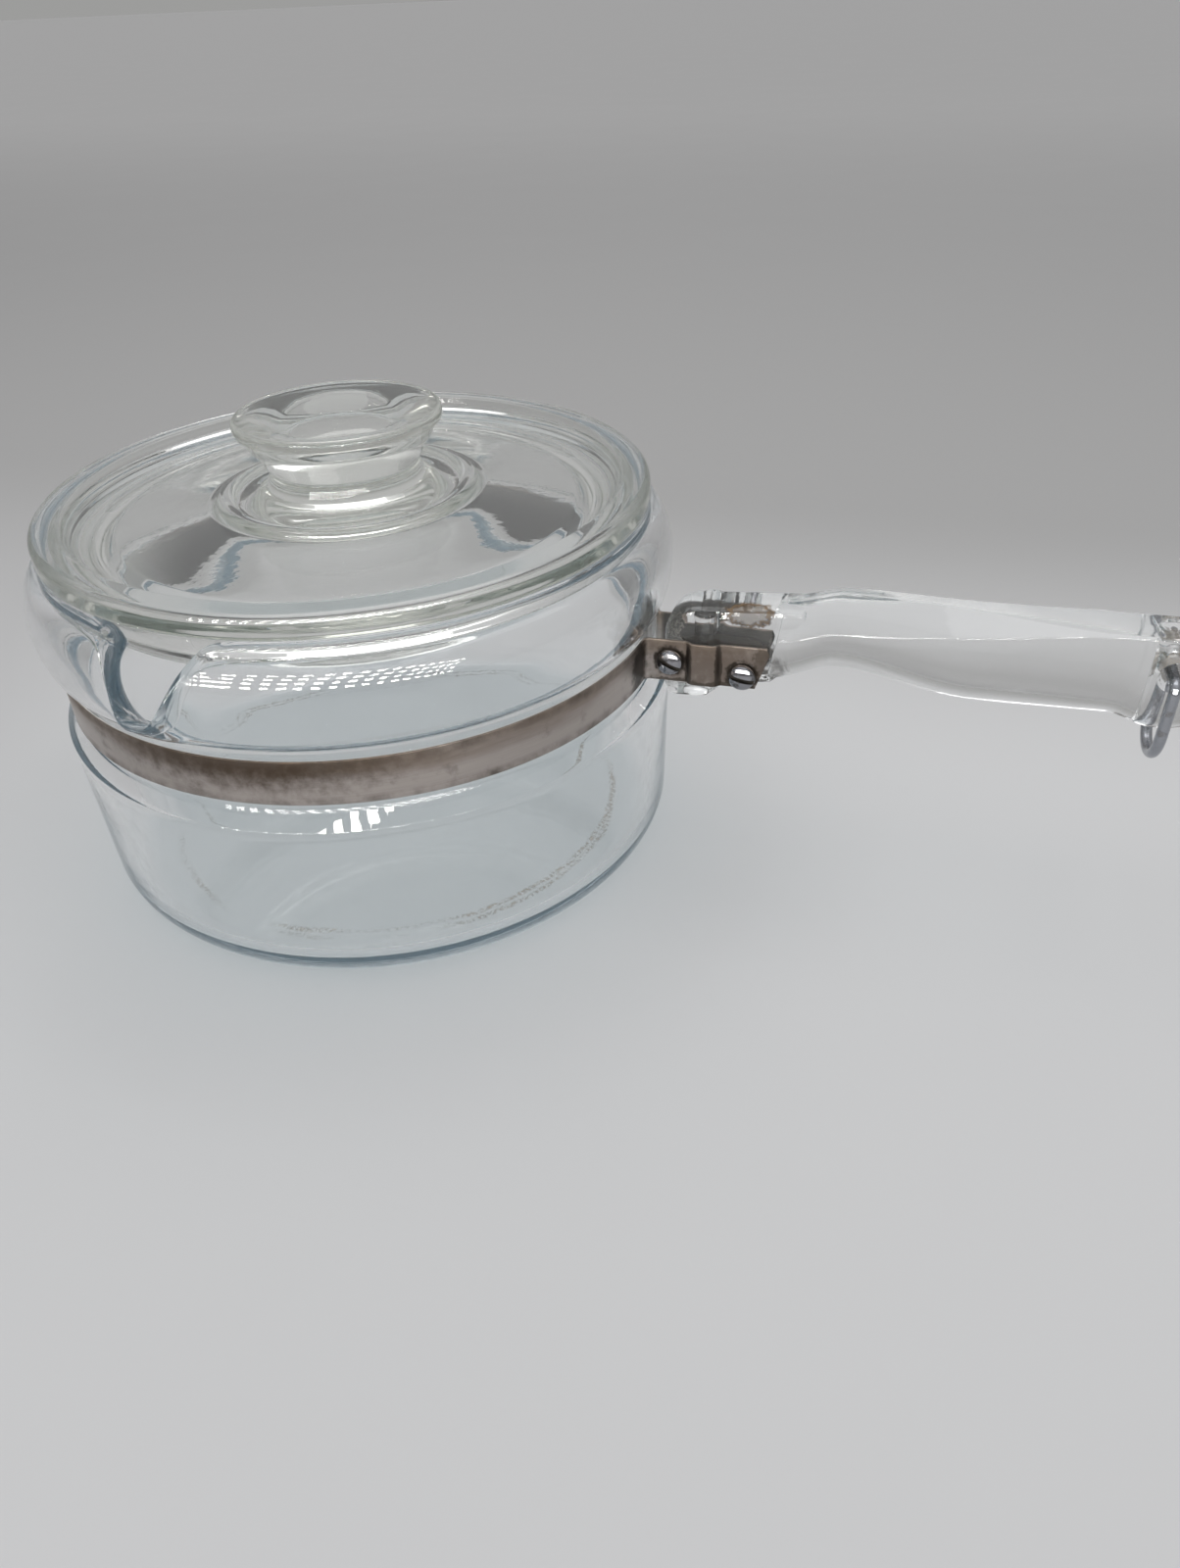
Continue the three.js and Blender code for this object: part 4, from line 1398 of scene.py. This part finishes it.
    def _sunk(self, face: bpy.types.MeshPolygon, floor: float) -> bool:
        """Whether a face of a screw belongs to its slot.

        Args:
            face: The face, before the screw is laid in its place.
            floor: Height of the slot's floor.

        Returns:
            True on the slot's floor and sides.
        """
        within = abs(face.center.x) < self.slot_width / 2 + TOUCH_GAP and face.center.z > floor - TOUCH_GAP
        return within and abs(face.normal.z) < self.upright or abs(face.center.z - floor) < TOUCH_GAP

    def _slot_outline(self, top: float) -> list[Point]:
        """Outline of the slot's cutter across the head."""
        half, low, high = self.slot_width / 2, top - self.slot_depth, top + self.slot_depth
        return [(-half, low), (half, low), (half, high), (-half, high)]

    def nut(self, name: str, finish: bpy.types.Material) -> None:
        """Make one square nut.

        Args:
            name: Which of the two.
            finish: Its plating.
        """
        x, z = self.screws[name]
        half = self.screw_radius + self.nut_wall
        flat = half - self.nut_chamfer
        outline = [(-flat, -half), (flat, -half), (half, -flat), (half, flat)]
        outline += [(flat, half), (-flat, half), (-half, flat), (-half, -flat)]
        made = Former.slab(f"{name}_nut", outline, self.nut_thickness, self.nut_edge)
        reach = 2 * self.nut_thickness
        bore = Former.turned(f"{name}_bore", rod(self.ear_hole, -reach, reach), self.bore_steps)
        Former.across(bore, 0.0, 0.0)
        Former.combine(made, [bore], Join.CUT)
        middle = self.ear_outside + self.fit + self.nut_thickness / 2
        made.data.transform(Matrix.Translation((x, middle, z)))
        Former.shade(made, self.nut_sharp)
        dress(made, Body.PAN, Slot.SCREW, finish, f"{name}_clamp_nut")

    def build(self, steel: BandFinish, plating: PlatedFinish, soil_and_shade: PlatedFinish) -> None:
        """Make the band, the screws and the nuts.

        Args:
            steel: The band's finish.
            plating: The screws' and nuts' finish.
            soil_and_shade: Dirt and painted shade in the screws' slots.
        """
        self.band(steel)
        bright, dark = plating.make(), soil_and_shade.make()
        for name in self.screws:
            self.screw(name, bright, dark)
            self.nut(name, bright)


@dataclass
class Handle:
    """The glass handle: root block with a foot and ribs, slanted shoulder, grip and ring hole."""

    datum: Datum
    clamp: Clamp
    block_width: float = 13.8 * MM
    block_bevel: float = 3.3 * MM
    edge_round: float = 0.4 * MM
    block_top_fall: float = 1.7 * MM
    nose_radius: float = 9.0 * MM
    block_rise: float = 10.8 * MM
    foot_length: float = 12.0 * MM
    foot_ramp: float = 4.6 * MM
    shoulder_gap: float = 0.2 * MM
    grip_width: float = 18.6 * MM
    shoulder_slant: float = 0.18
    neck_depth: float = 20.2 * MM
    palm_depth: float = 26.4 * MM
    lobe_depth: float = 29.6 * MM
    front_depth: float = 25.6 * MM
    front_top_drop: float = 3.4 * MM
    finger_reach: float = 16.0 * MM
    palm_reach: float = 50.0 * MM
    lobe_lead: float = 1.0 * MM
    ridge_width: float = 3.8 * MM
    ridge_fall: float = 2.6 * MM
    flat_start: float = 34.0 * MM
    flat_lead: float = 10.5 * MM
    flat_border: float = 0.8 * MM
    end_width: float = 13.6 * MM
    end_bluntness: float = 2.6
    end_face: float = 0.25
    eave_drop_front: float = 8.4 * MM
    eave_drop_end: float = 1.0 * MM
    eave_rise: float = 0.6 * MM
    eave_share: float = 0.96
    ring_inset: float = 11.5 * MM
    ring_drop: float = 12.5 * MM
    ring_hole: float = 2.7 * MM
    ring_mouth: float = 1.6 * MM
    ring_mouth_depth: float = 3.0 * MM
    glass_hole_fit: float = 0.5 * MM
    crease: float = 0.35 * MM
    face_rings: tuple[Point, ...] = ((0.0, 0.93), (0.4, 0.97))
    belly_crowd: float = 1.6
    belly_power: int = 3
    rib_drop: float = 0.3
    rib_soft: float = 1.2 * MM
    mouth_soft: float = 0.8 * MM
    sharp: float = 35.0
    grip_steps: int = 90
    end_steps: int = 14
    facet_steps: int = 4
    belly_steps: int = 20
    nose_steps: int = 10
    bevel_steps: int = 2
    rib_steps: int = 48
    notch_steps: int = 12
    hole_steps: int = 32
    ring_steps: int = 40

    def __post_init__(self) -> None:
        """Work out the grip's lines."""
        self.start = self.clamp.ear_rear + self.shoulder_gap
        self.length = self.datum.grip_end - self.start
        self.lobe = self.length - self.ring_inset - self.lobe_lead
        self.block_top = self.datum.band_high + self.block_rise
        top = self.datum.grip_top
        self.under = smooth_line([
            (0.0, top - self.front_depth), (self.finger_reach, top - self.neck_depth),
            (self.palm_reach, top - self.palm_depth), (self.lobe - self.ring_inset, top - self.palm_depth),
            (self.lobe, top - self.lobe_depth),
        ])
        full = self.lobe - self.flat_lead
        self.ridge = smooth_line([
            (0.0, top - self.front_top_drop), (self.finger_reach, top), (full, top - self.ridge_fall),
        ])
        self.half = smooth_line([(self.palm_reach, self.grip_width / 2), (self.lobe, self.end_width / 2)])
        flat_end = self.end_width / 2 - self.flat_border
        self.flat = smooth_line([(self.flat_start, self.ridge_width / 2), (full, flat_end)])
        self.eave = smooth_line([(self.finger_reach, self.eave_drop_front), (full, self.eave_drop_end)])

    def grip_ring(self, at: float, shrink: float) -> list[Vector]:
        """One section across the grip.

        Args:
            at: Distance from the shoulder.
            shrink: Share of the full section, for the rounded end.

        Returns:
            The section's points, from the ridge down one side and up the other.
        """
        ridge, under, half = self.ridge(at), self.under(at), self.half(at)
        eave = ridge - self.eave(at)
        depth = eave - under
        steps, last = self.facet_steps, self.belly_steps
        side = [(self.flat(at) * i / steps, ridge) for i in range(steps + 1)]
        side.append((half * self.eave_share, eave + self.eave_rise))
        belly = [1 - (1 - i / last) ** self.belly_crowd for i in range(1, last + 1)]
        side += [(half * math.sqrt(max(0.0, 1 - t ** self.belly_power)), eave - depth * t) for t in belly]
        side = soften(side, self.crease)
        middle = (ridge + under) / 2
        lean = self.shoulder_slant * max(0.0, 1 - at / self.palm_reach)
        ring = side + [(-y, z) for y, z in reversed(side[1:-1])]
        x, level = self.start + at, self.datum.band_high
        return [Vector((x + lean * (z - level), y * shrink, middle + (z - middle) * shrink))
                for y, z in ring]

    def grip(self) -> bpy.types.Object:
        """Loft the grip.

        Returns:
            The grip, before it is joined to the block.
        """
        steps, first = self.grip_steps, 2 * self.crease
        body = self.length - self.ring_inset - first
        rings = [self.grip_ring(self.crease * at, shrink) for at, shrink in self.face_rings]
        rings += [self.grip_ring(first + body * i / steps, 1.0) for i in range(steps + 1)]
        for i in range(1, self.end_steps + 1):
            t = math.sin(QUARTER_TURN * i / self.end_steps)
            shrink = max(self.end_face, (1 - t ** self.end_bluntness) ** (1 / self.end_bluntness))
            rings.append(self.grip_ring(self.length - self.ring_inset * (1 - t), shrink))
        return Former.grid("grip", rings)

    def block(self) -> bpy.types.Object:
        """Make the root block with its foot and rounded nose.

        Returns:
            The block.
        """
        front, low, bottom = self.datum.block_front, self.datum.block_low, self.datum.band_low
        rear = self.start + self.finger_reach / 2
        foot = front + self.foot_length
        nose = (front + self.nose_radius, self.block_top - self.block_top_fall - self.nose_radius)
        outline = [(front, low), (foot, low), (foot + self.foot_ramp, bottom), (self.start, bottom)]
        outline += [(rear, self.datum.band_high), (rear, self.block_top)]
        outline += arc(nose, (self.nose_radius, self.nose_radius), 1, 2, self.nose_steps)
        made = Former.slab("block", outline, self.block_width)
        for width in (self.block_bevel, self.edge_round):
            Former.bevel(made, width, self.bevel_steps)
        return made

    def ribs(self) -> list[bpy.types.Object]:
        """Make the two upright half-round ribs.

        Returns:
            The ribs, as pillars that stand partly in the block.
        """
        half, proud = self.clamp.rib_width / 2, self.clamp.rib_depth
        radius = (half ** 2 + proud ** 2) / (2 * proud)
        high = self.block_top - self.block_top_fall - self.rib_drop * self.block_bevel
        profile = soften(rod(radius, self.datum.band_low, high), self.rib_soft)
        made = []
        for side in (-1, 1):
            pillar = Former.turned("rib", profile, self.rib_steps)
            across = side * (self.block_width / 2 + proud - radius)
            pillar.data.transform(Matrix.Translation((self.clamp.rib_x, across, 0.0)))
            made.append(pillar)
        return made

    def cutters(self) -> list[bpy.types.Object]:
        """Make what cuts the screw holes and the flared ring hole.

        Returns:
            The cutters.
        """
        hole = self.clamp.screw_radius + self.glass_hole_fit
        (front_x, front_z), (rear_x, rear_z) = self.clamp.screws["front"], self.clamp.screws["rear"]
        reach = self.end_width / 2
        straight, mouth = reach - self.ring_mouth_depth, self.ring_hole + self.ring_mouth
        flared = [(0.0, -2 * reach), (mouth, -2 * reach), (mouth, -reach), (self.ring_hole, -straight)]
        flared += [(r, -z) for r, z in reversed(flared)]
        open_x = self.datum.block_front - hole
        notch = arc((front_x, front_z), (hole, hole), -1, 1, self.notch_steps)
        notch += [(open_x, front_z + hole), (open_x, front_z - hole)]
        rear = Former.turned("rear_hole", rod(hole, -self.grip_width, self.grip_width), self.hole_steps)
        Former.across(rear, rear_x, rear_z)
        ring = Former.turned("ring_hole", soften(flared, self.mouth_soft), self.ring_steps)
        Former.across(ring, self.datum.grip_end - self.ring_inset, self.datum.grip_top - self.ring_drop)
        return [Former.slab("notch", notch, 2 * self.grip_width), rear, ring]

    def build(self, finish: GlassFinish) -> None:
        """Make the handle.

        Args:
            finish: Its glass.
        """
        made = self.block()
        made.name = "glass_handle"
        Former.combine(made, [*self.ribs(), self.grip()], Join.ADD)
        Former.combine(made, self.cutters(), Join.CUT)
        Former.shade(made, self.sharp)
        Former.even(made)
        dress(made, Body.PAN, Slot.HANDLE, finish.make(), "handle")


@dataclass
class HangingRing:
    """The wire loop in the handle's end."""

    datum: Datum
    wire: float = 1.4 * MM
    length: float = 22.4 * MM
    bend: float = 2.6 * MM
    leg: float = 8.8 * MM
    butt: float = 0.25 * MM
    sides: int = 20
    bend_steps: int = 8
    loop_steps: int = 16
    longest: float = 1.5 * MM
    sharp: float = 40.0

    def path(self) -> list[Vector]:
        """Middle of the wire from one cut end round to the other.

        Returns:
            The path.
        """
        low = -(self.length - self.leg)
        half = [(self.butt, 0.0)]
        half += arc((self.leg - self.bend, -self.bend), (self.bend, self.bend), 1, 0, self.bend_steps)
        half += arc((0.0, low), (self.leg, self.leg), 0, -1, self.loop_steps)
        line = spread(half + [(-y, z) for y, z in reversed(half[:-1])], self.longest)
        return [self.datum.ring_pivot + Vector((0.0, y, z)) for y, z in line]

    def build(self, finish: PlatedFinish) -> None:
        """Make the ring.

        Args:
            finish: Its plating.
        """
        section = arc((0.0, 0.0), (self.wire, self.wire), 0, 4, self.sides)[:-1]
        made = Former.tube("wire_ring", self.path(), section, Vector((1.0, 0.0, 0.0)))
        Former.shade(made, self.sharp)
        dress(made, Body.RING, Slot.RING, finish.make(), "hanging_ring")


@dataclass
class Studio:
    """Camera, pale floor and soft light."""

    eye: Triple = (0.14029, -0.25947, 0.20633)
    right: Triple = (0.96481131, 0.26054218, -0.03545298)
    up: Triple = (-0.12368922, 0.56868774, 0.81320061)
    lens: float = 25.566
    sensor: float = 36.0
    near_clip: float = 0.01
    floor_radius: float = 60.0
    floor_steps: int = 96
    floor_gap: float = 0.1 * MM
    floor_pale: Colour = (0.70, 0.702, 0.705)
    floor_bright: Colour = (0.73, 0.732, 0.735)
    # Painted shade on the floor: darker to the left and behind the pan, lighter again far off.
    floor_left_shade: Colour = (0.575, 0.575, 0.577)
    floor_back_shade: Colour = (0.44, 0.438, 0.435)
    floor_far_shade: Colour = (0.60, 0.597, 0.592)
    floor_sheen: float = 0.12
    mottle_scale: float = 9.0
    left_range: Point = (-0.07, -0.22)
    back_range: Point = (0.04, 0.27)
    far_range: Point = (0.4, 2.4)
    wall_low: Colour = (0.335, 0.335, 0.33)
    wall_high: Colour = (0.50, 0.50, 0.505)
    wall_range: Point = (0.02, 0.35)
    ceiling: Colour = (0.84, 0.84, 0.85)
    ceiling_range: Point = (0.6, 0.95)
    gloom: Colour = (0.03, 0.028, 0.027)
    gloom_share: float = 0.45
    gloom_range: Point = (-0.2, -0.6)
    gloom_heights: Point = (0.92, 0.7)
    top_place: Triple = (0.05, 0.15, 1.0)
    top_aim: Triple = (0.03, 0.0, 0.05)
    top_size: Point = (1.1, 0.8)
    top_power: float = 3.3
    lamp_count: int = 20
    lamp_rows: int = 4
    lamp_pitch: float = 0.062
    lamp_width: float = 0.032
    lamp_height: float = 0.038
    lamp_middle: Triple = (0.2, -0.08, 0.08)
    lamp_reach: float = 0.62
    lamp_first: float = math.radians(14.0)
    lamp_rise: float = math.radians(9.5)
    lamp_colour: Colour = (1.0, 0.985, 0.95)
    lamp_strength: float = 42.0
    bounces: int = 64
    glass_bounces: int = 60
    mirror_bounces: int = 12
    thin_bounces: int = 32

    def camera(self) -> None:
        """Stand the camera at the photo's viewpoint."""
        data = bpy.data.cameras.new("camera")
        data.sensor_width = self.sensor
        data.lens = self.lens
        data.clip_start = self.near_clip
        made = bpy.data.objects.new("camera", data)
        right, up = Vector(self.right), Vector(self.up)
        turn = Matrix((right, up, right.cross(up))).transposed().to_4x4()
        made.matrix_world = Matrix.Translation(self.eye) @ turn
        bpy.context.scene.collection.objects.link(made)
        bpy.context.scene.camera = made

    def floor(self) -> None:
        """Lay the pale floor, with painted shade to the left and towards the back."""
        sheet = Sheet(bpy.data.materials.new("pale_floor"))
        place = sheet.place()
        x, y, _ = sheet.axes(place)
        mottle = sheet.grain(place, self.mottle_scale, 4.0)
        near = sheet.mix(mottle, self.floor_pale, self.floor_bright)
        # Painted shade: the floor darkens to the left and towards the back.
        near = sheet.mix(x.smooth(*self.left_range), near, self.floor_left_shade)
        back = sheet.mix(y.smooth(*self.far_range), self.floor_back_shade, self.floor_far_shade)
        sheet.finish(sheet.principled({
            "Base Color": sheet.mix(y.smooth(*self.back_range), near, back),
            "Roughness": 0.5 + mottle * 0.15,
            "Specular IOR Level": self.floor_sheen,
        }))
        edge = arc((0.0, 0.0), (self.floor_radius, self.floor_radius), 0, 4, self.floor_steps)[:-1]
        rim = [Vector((*point, -self.floor_gap)) for point in edge]
        made = Former.mesh("floor", rim, [list(range(len(rim)))])
        made.data.materials.append(sheet.owner)

    def world(self) -> None:
        """Surround the part with a pale room that is bright above and dim at the front."""
        scene = bpy.context.scene
        scene.world = bpy.data.worlds.new("room")
        sheet = Sheet(scene.world)
        _, y, z = sheet.axes(sheet.out("ShaderNodeTexCoord", None, {}, "Generated"))
        wall = sheet.mix(z.smooth(*self.wall_range), self.wall_low, self.wall_high)
        wall = sheet.mix(z.smooth(*self.ceiling_range), wall, self.ceiling)
        front = y.smooth(*self.gloom_range) * z.smooth(*self.gloom_heights) * self.gloom_share
        light = {"Color": sheet.mix(front, wall, self.gloom), "Strength": 1.0}
        sheet.finish(sheet.out("ShaderNodeBackground", None, light))

    def top_light(self) -> None:
        """Hang the soft light above, facing the pan."""
        data = bpy.data.lights.new("top_light", "AREA")
        data.shape = "RECTANGLE"
        data.size, data.size_y = self.top_size
        data.energy = self.top_power
        made = bpy.data.objects.new("top_light", data)
        made.location = self.top_place
        ahead = Vector(self.top_aim) - Vector(self.top_place)
        made.rotation_euler = ahead.to_track_quat("-Z", "Y").to_euler()
        bpy.context.scene.collection.objects.link(made)

    def lamp_row(self, name: str, rise: float) -> None:
        """Hang a row of small bright lamps in front of the pan, which glint along the glass edges.

        Args:
            name: Its name.
            rise: The row's angle above the bulge's front.
        """
        sheet = Sheet(bpy.data.materials.new(f"{name}_glow"))
        glow = {"Color": self.lamp_colour, "Strength": self.lamp_strength}
        sheet.finish(sheet.out("ShaderNodeEmission", None, glow))
        corners: list[Vector] = []
        faces = []
        ahead = Vector((0.0, -math.cos(rise), math.sin(rise)))
        across = Vector((self.lamp_width / 2, 0.0, 0.0))
        along = Vector((0.0, math.sin(rise), math.cos(rise))) * (self.lamp_height / 2)
        x, y, z = self.lamp_middle
        for i in range(self.lamp_count):
            side = (i - (self.lamp_count - 1) / 2) * self.lamp_pitch
            spot = Vector((x + side, y, z)) + ahead * self.lamp_reach
            faces.append([len(corners) + j for j in range(4)])
            corners += [spot - across - along, spot + across - along]
            corners += [spot + across + along, spot - across + along]
        made = Former.mesh(name, corners, faces)
        made.data.materials.append(sheet.owner)
        made.visible_camera = False
        made.visible_diffuse = False
        made.visible_transmission = False

    def build(self) -> None:
        """Set up the studio."""
        scene = bpy.context.scene
        scene.view_settings.view_transform = "Standard"
        scene.cycles.max_bounces = self.bounces
        scene.cycles.transmission_bounces = self.glass_bounces
        scene.cycles.glossy_bounces = self.mirror_bounces
        scene.cycles.transparent_max_bounces = self.thin_bounces
        scene.cycles.sample_clamp_indirect = 0.0
        scene.cycles.caustics_reflective = False
        scene.cycles.caustics_refractive = False
        self.floor()
        self.world()
        self.top_light()
        for row in range(self.lamp_rows):
            self.lamp_row(f"lamp_row_{row + 1}", self.lamp_first + self.lamp_rise * row)


BOWL_GLASS = GlassFinish(
    name="bowl_glass",
    tint=(0.66, 0.86, 0.96),
    density=3.0,
    ripple=0.05 * MM,
    ripple_scale=70.0,
    smear=0.03,
    stains_and_shade=(
        TideMark(radius=0.0675, width=1.2 * MM, low=5.2 * MM, high=8.0 * MM,
                 colour=(0.30, 0.23, 0.16), cover=0.7),
    ),
)
LID_GLASS = GlassFinish(
    name="lid_glass",
    clear=(0.90, 0.905, 0.895),
    # Painted light: the colour that ends rays trapped in the lid's glass.
    painted_core_light=(0.27, 0.325, 0.285),
    tint=(0.90, 0.93, 0.74),
    density=4.0,
    ripple=0.05 * MM,
    ripple_scale=60.0,
    smear=0.02,
)
HANDLE_GLASS = GlassFinish(
    name="handle_glass",
    tint=(0.86, 0.92, 0.90),
    density=6.0,
    ripple=0.10 * MM,
    ripple_scale=90.0,
    smear=0.03,
    polish=0.02,
    stains_and_shade=(
        Spot((0.1088, -0.0056, 0.0766), (0.0070, 0.0040, 0.0038), (0.20, 0.11, 0.035),
             cover=0.95, grain=700.0, ragged=0.35, hollow=0.45),
        # Painted shade: a near-black patch on the block's far face, where the far ear lies in shadow behind
        # the glass.
        Spot((0.1010, 0.0069, 0.0615), (0.0175, 0.0030, 0.0058), (0.022, 0.015, 0.009),
             cover=0.97, grain=700.0, ragged=0.2),
        Spot((0.0890, -0.0069, 0.0726), (0.0034, 0.0040, 0.0044), (0.50, 0.48, 0.43),
             cover=0.5, grain=1100.0, ragged=0.9),
        Spot((0.0885, -0.0069, 0.0745), (0.0036, 0.0040, 0.0030), (0.05, 0.045, 0.04),
             cover=0.6, grain=1500.0, ragged=1.3),
        Spot((0.20913, 0.0, 0.0702), (0.0042, 0.0090, 0.0042), (0.20, 0.15, 0.09),
             cover=0.6, grain=700.0, ragged=0.8),
    ),
)
BAND_STEEL = BandFinish(
    name="band_steel",
    steel=(0.44, 0.397, 0.372),
    stain=(0.15, 0.11, 0.08),
    # Painted light on the inner face, and painted shade on its back half and on the ears' pressed faces.
    inside=(0.62, 0.585, 0.56),
    soil_and_shade=(0.034, 0.029, 0.025),
    low=56.4 * MM,
    high=68.3 * MM,
    radius=82.5 * MM,
    spots=(
        Spot((0.0060, -0.0820, 0.0676), (0.0600, 0.0320, 0.0105), (0.07, 0.05, 0.036),
             cover=0.95, grain=420.0, ragged=0.45, soft=0.95),
        Spot((0.1000, -0.0085, 0.0620), (0.0210, 0.0050, 0.0130), (0.13, 0.10, 0.08),
             cover=0.8, grain=420.0, ragged=0.5, soft=0.8),
        # Painted shadow in the fold where the band bends out into the near ear.
        Spot((0.0815, -0.0125, 0.0620), (0.0048, 0.0060, 0.0110), (0.022, 0.019, 0.016),
             cover=0.9, grain=500.0, ragged=0.5, soft=0.6),
        # Painted contact shade and dirt in rings round the two screw heads.
        Spot((0.0888, -0.0080, 0.06235), (0.0050, 0.0030, 0.0050), (0.028, 0.023, 0.018),
             cover=0.9, grain=900.0, ragged=0.25),
        Spot((0.10788, -0.0080, 0.05995), (0.0050, 0.0030, 0.0050), (0.028, 0.023, 0.018),
             cover=0.9, grain=900.0, ragged=0.25),
        Spot((0.1130, -0.0080, 0.0640), (0.0030, 0.0030, 0.0050), (0.06, 0.045, 0.032),
             cover=0.6, grain=700.0, ragged=0.6),
        Spot((0.0938, -0.0080, 0.0610), (0.0012, 0.0030, 0.0085), (0.04, 0.032, 0.026),
             cover=0.8, grain=900.0, ragged=0.4),
        Spot((0.1016, -0.0080, 0.0620), (0.0011, 0.0030, 0.0085), (0.04, 0.032, 0.026),
             cover=0.8, grain=900.0, ragged=0.4),
        Spot((0.1000, -0.0085, 0.0566), (0.0200, 0.0040, 0.0012), (0.05, 0.04, 0.03),
             cover=0.7, grain=900.0, ragged=0.9),
    ),
)
SCREW_PLATING = PlatedFinish("screw_plating", (0.30, 0.30, 0.32), (0.04, 0.034, 0.03), polish=0.05, wear=0.9)
# Dirt and painted shade in the screws' slots: a near-black finish for the recess.
SLOT_SOIL_AND_SHADE = PlatedFinish("slot_soil_and_shade", (0.04, 0.037, 0.034), (0.07, 0.055, 0.04), polish=0.5, wear=0.9)
RING_PLATING = PlatedFinish("ring_plating", (0.34, 0.352, 0.38), (0.14, 0.12, 0.10), polish=0.16, wear=0.5)


def main() -> None:
    """Build the studio and the pieces in order."""
    logging.basicConfig(level=logging.INFO, format="%(name)s: %(message)s")
    studio = Studio()
    studio.camera()
    studio.build()
    datum = Datum.read()
    clamp = Clamp(datum)
    Bowl(datum).build(BOWL_GLASS)
    Lid(datum).build(LID_GLASS)
    clamp.build(BAND_STEEL, SCREW_PLATING, SLOT_SOIL_AND_SHADE)
    Handle(datum, clamp).build(HANDLE_GLASS)
    HangingRing(datum).build(RING_PLATING)


if __name__ == "__main__":
    main()
